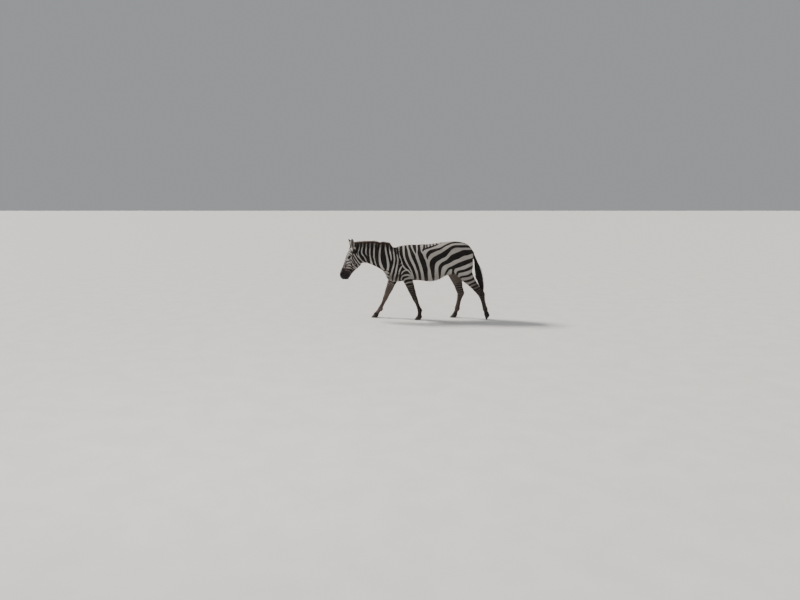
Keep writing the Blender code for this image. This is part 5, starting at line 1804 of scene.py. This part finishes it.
horn_material, tree, shader = new_material("hoof_horn", {"Specular IOR Level": 0.25})
place = object_place(tree)
low = attribute_node(tree, "low")
rings = noise_node(tree, place, 1.0, 3.0, (14, 14, 340))
grainy = noise_node(tree, place, 1.0, 3.0, (420, 420, 30))
horn = mix_node(tree, ramp_node(tree, rings, 0.35, 0.7), (0.014, 0.012, 0.011, 1), (0.036, 0.030, 0.026, 1))
fibres = math_node(tree, "MULTIPLY", ramp_node(tree, grainy, 0.45, 0.75), 0.18)
horn = mix_node(tree, fibres, horn, (0.075, 0.064, 0.053, 1))
dusty = ramp_node(tree, low, 0.026, 0.0, 0.0, 0.45)
horn = mix_node(tree, dusty, horn, (0.16, 0.135, 0.11, 1))
tree.links.new(horn, shader.inputs["Base Color"])
tree.links.new(ramp_node(tree, low, 0.0, 0.05, 0.78, 0.52), shader.inputs["Roughness"])
bump_node(tree, shader, math_node(tree, "ADD", rings, math_node(tree, "MULTIPLY", grainy, 0.3)), 0.0006, 0.6)

for leg in LEGS:
    node = f"hoof_{leg[0]}_{leg[1]}"
    hoof = copy_of_node(node)
    hoof.name = f"horn_{leg[0]}_{leg[1]}"
    activate(hoof)
    with edit_mode():
        bpy.ops.mesh.select_all(action="SELECT")
        bpy.ops.mesh.dissolve_limited(angle_limit=math.radians(1))
        bpy.ops.mesh.quads_convert_to_tris()
    applied(hoof, "REMESH", mode="VOXEL", voxel_size=HOOF_GRAIN)
    applied(hoof, "SMOOTH", factor=0.5, iterations=4)
    own = points_of(hoof.data)
    ways = normals_of(hoof.data)
    tall = own[:, 2] - own[:, 2].min()
    wall = smoothstep(0.7, 0.3, np.abs(ways[:, 2])) * smoothstep(0.002, 0.008, tall)
    ridges = np.sin(tall * 2 * math.pi / HOOF_RINGS + 2 * np.sin(own[:, 0] * 60))
    own += ways * (RING_DEPTH * ridges * wall)[:, None]
    own[:, 2] -= np.where(tall < HOOF_GRAIN, SOLE_SINK, 0)
    own[:, 2] = np.maximum(own[:, 2], points_of(frame["nodes"][node].data)[:, 2].min())
    set_points(hoof.data, own)
    give_marks(hoof.data, {"low": own[:, 2] - own[:, 2].min()})
    hoof.data.materials.clear()
    hoof.data.materials.append(horn_material)
    hoof.data.shade_smooth()
    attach(hoof, "root")
    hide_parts(node)

# ------------------------------------------------------------
# Floor, light and camera. A pale studio floor, a warm key high behind the head end, and broad soft
# fills, seen side on from a little above the back.

bpy.ops.mesh.primitive_plane_add(size=400, location=(0, 0, 0))
floor = bpy.context.object
floor.name = "studio_floor"
floor_material, tree, shader = new_material("pale_floor", {"Roughness": 0.85})
cloudy = ramp_node(tree, noise_node(tree, object_place(tree), 3.0, 4.0), 0.3, 0.7)
floor_colour = mix_node(tree, cloudy, (0.60, 0.59, 0.575, 1), (0.64, 0.63, 0.61, 1))
tree.links.new(floor_colour, shader.inputs["Base Color"])
floor.data.materials.append(floor_material)

LIGHTS = (                  # name, kind, place, size, power, colour
    ("key_light", "SUN", (-5.2, 2.2, 5.4), 12, 6.2, (1.0, 0.945, 0.87)),
    ("top_light", "SUN", (1.5, 1.0, 6.0), 60, 0.5, (1.0, 0.99, 0.97)),
    ("fill_light", "AREA", (-2.0, -6.5, 3.6), 5.0, 70, (0.93, 0.96, 1.0)),
)
BODY_MIDDLE = 0.75          # the height that the lights point at
for name, kind, spot, size, power, colour in LIGHTS:
    bpy.ops.object.light_add(type=kind, location=spot)
    lamp = bpy.context.object
    lamp.name = name
    if kind == "SUN":
        lamp.data.angle = math.radians(size)
    else:
        lamp.data.shape = "DISK"
        lamp.data.size = size
    lamp.data.energy = power
    lamp.data.color = colour
    aim = mathutils.Vector((0, 0, BODY_MIDDLE)) - mathutils.Vector(spot)
    lamp.rotation_euler = aim.to_track_quat("-Z", "Y").to_euler()
world = bpy.data.worlds.new("studio_air")
world.use_nodes = True
air = world.node_tree.nodes["Background"]
air.inputs["Color"].default_value = (0.86, 0.89, 0.93, 1)
air.inputs["Strength"].default_value = 0.38
bpy.context.scene.world = world

bpy.ops.object.camera_add(location=(-0.2575, -10.42, 1.977), rotation=(math.radians(81.02), 0, 0))
camera = bpy.context.object
camera.name = "camera"
camera.data.lens = 27.045
camera.data.sensor_width = 36
bpy.context.scene.camera = camera
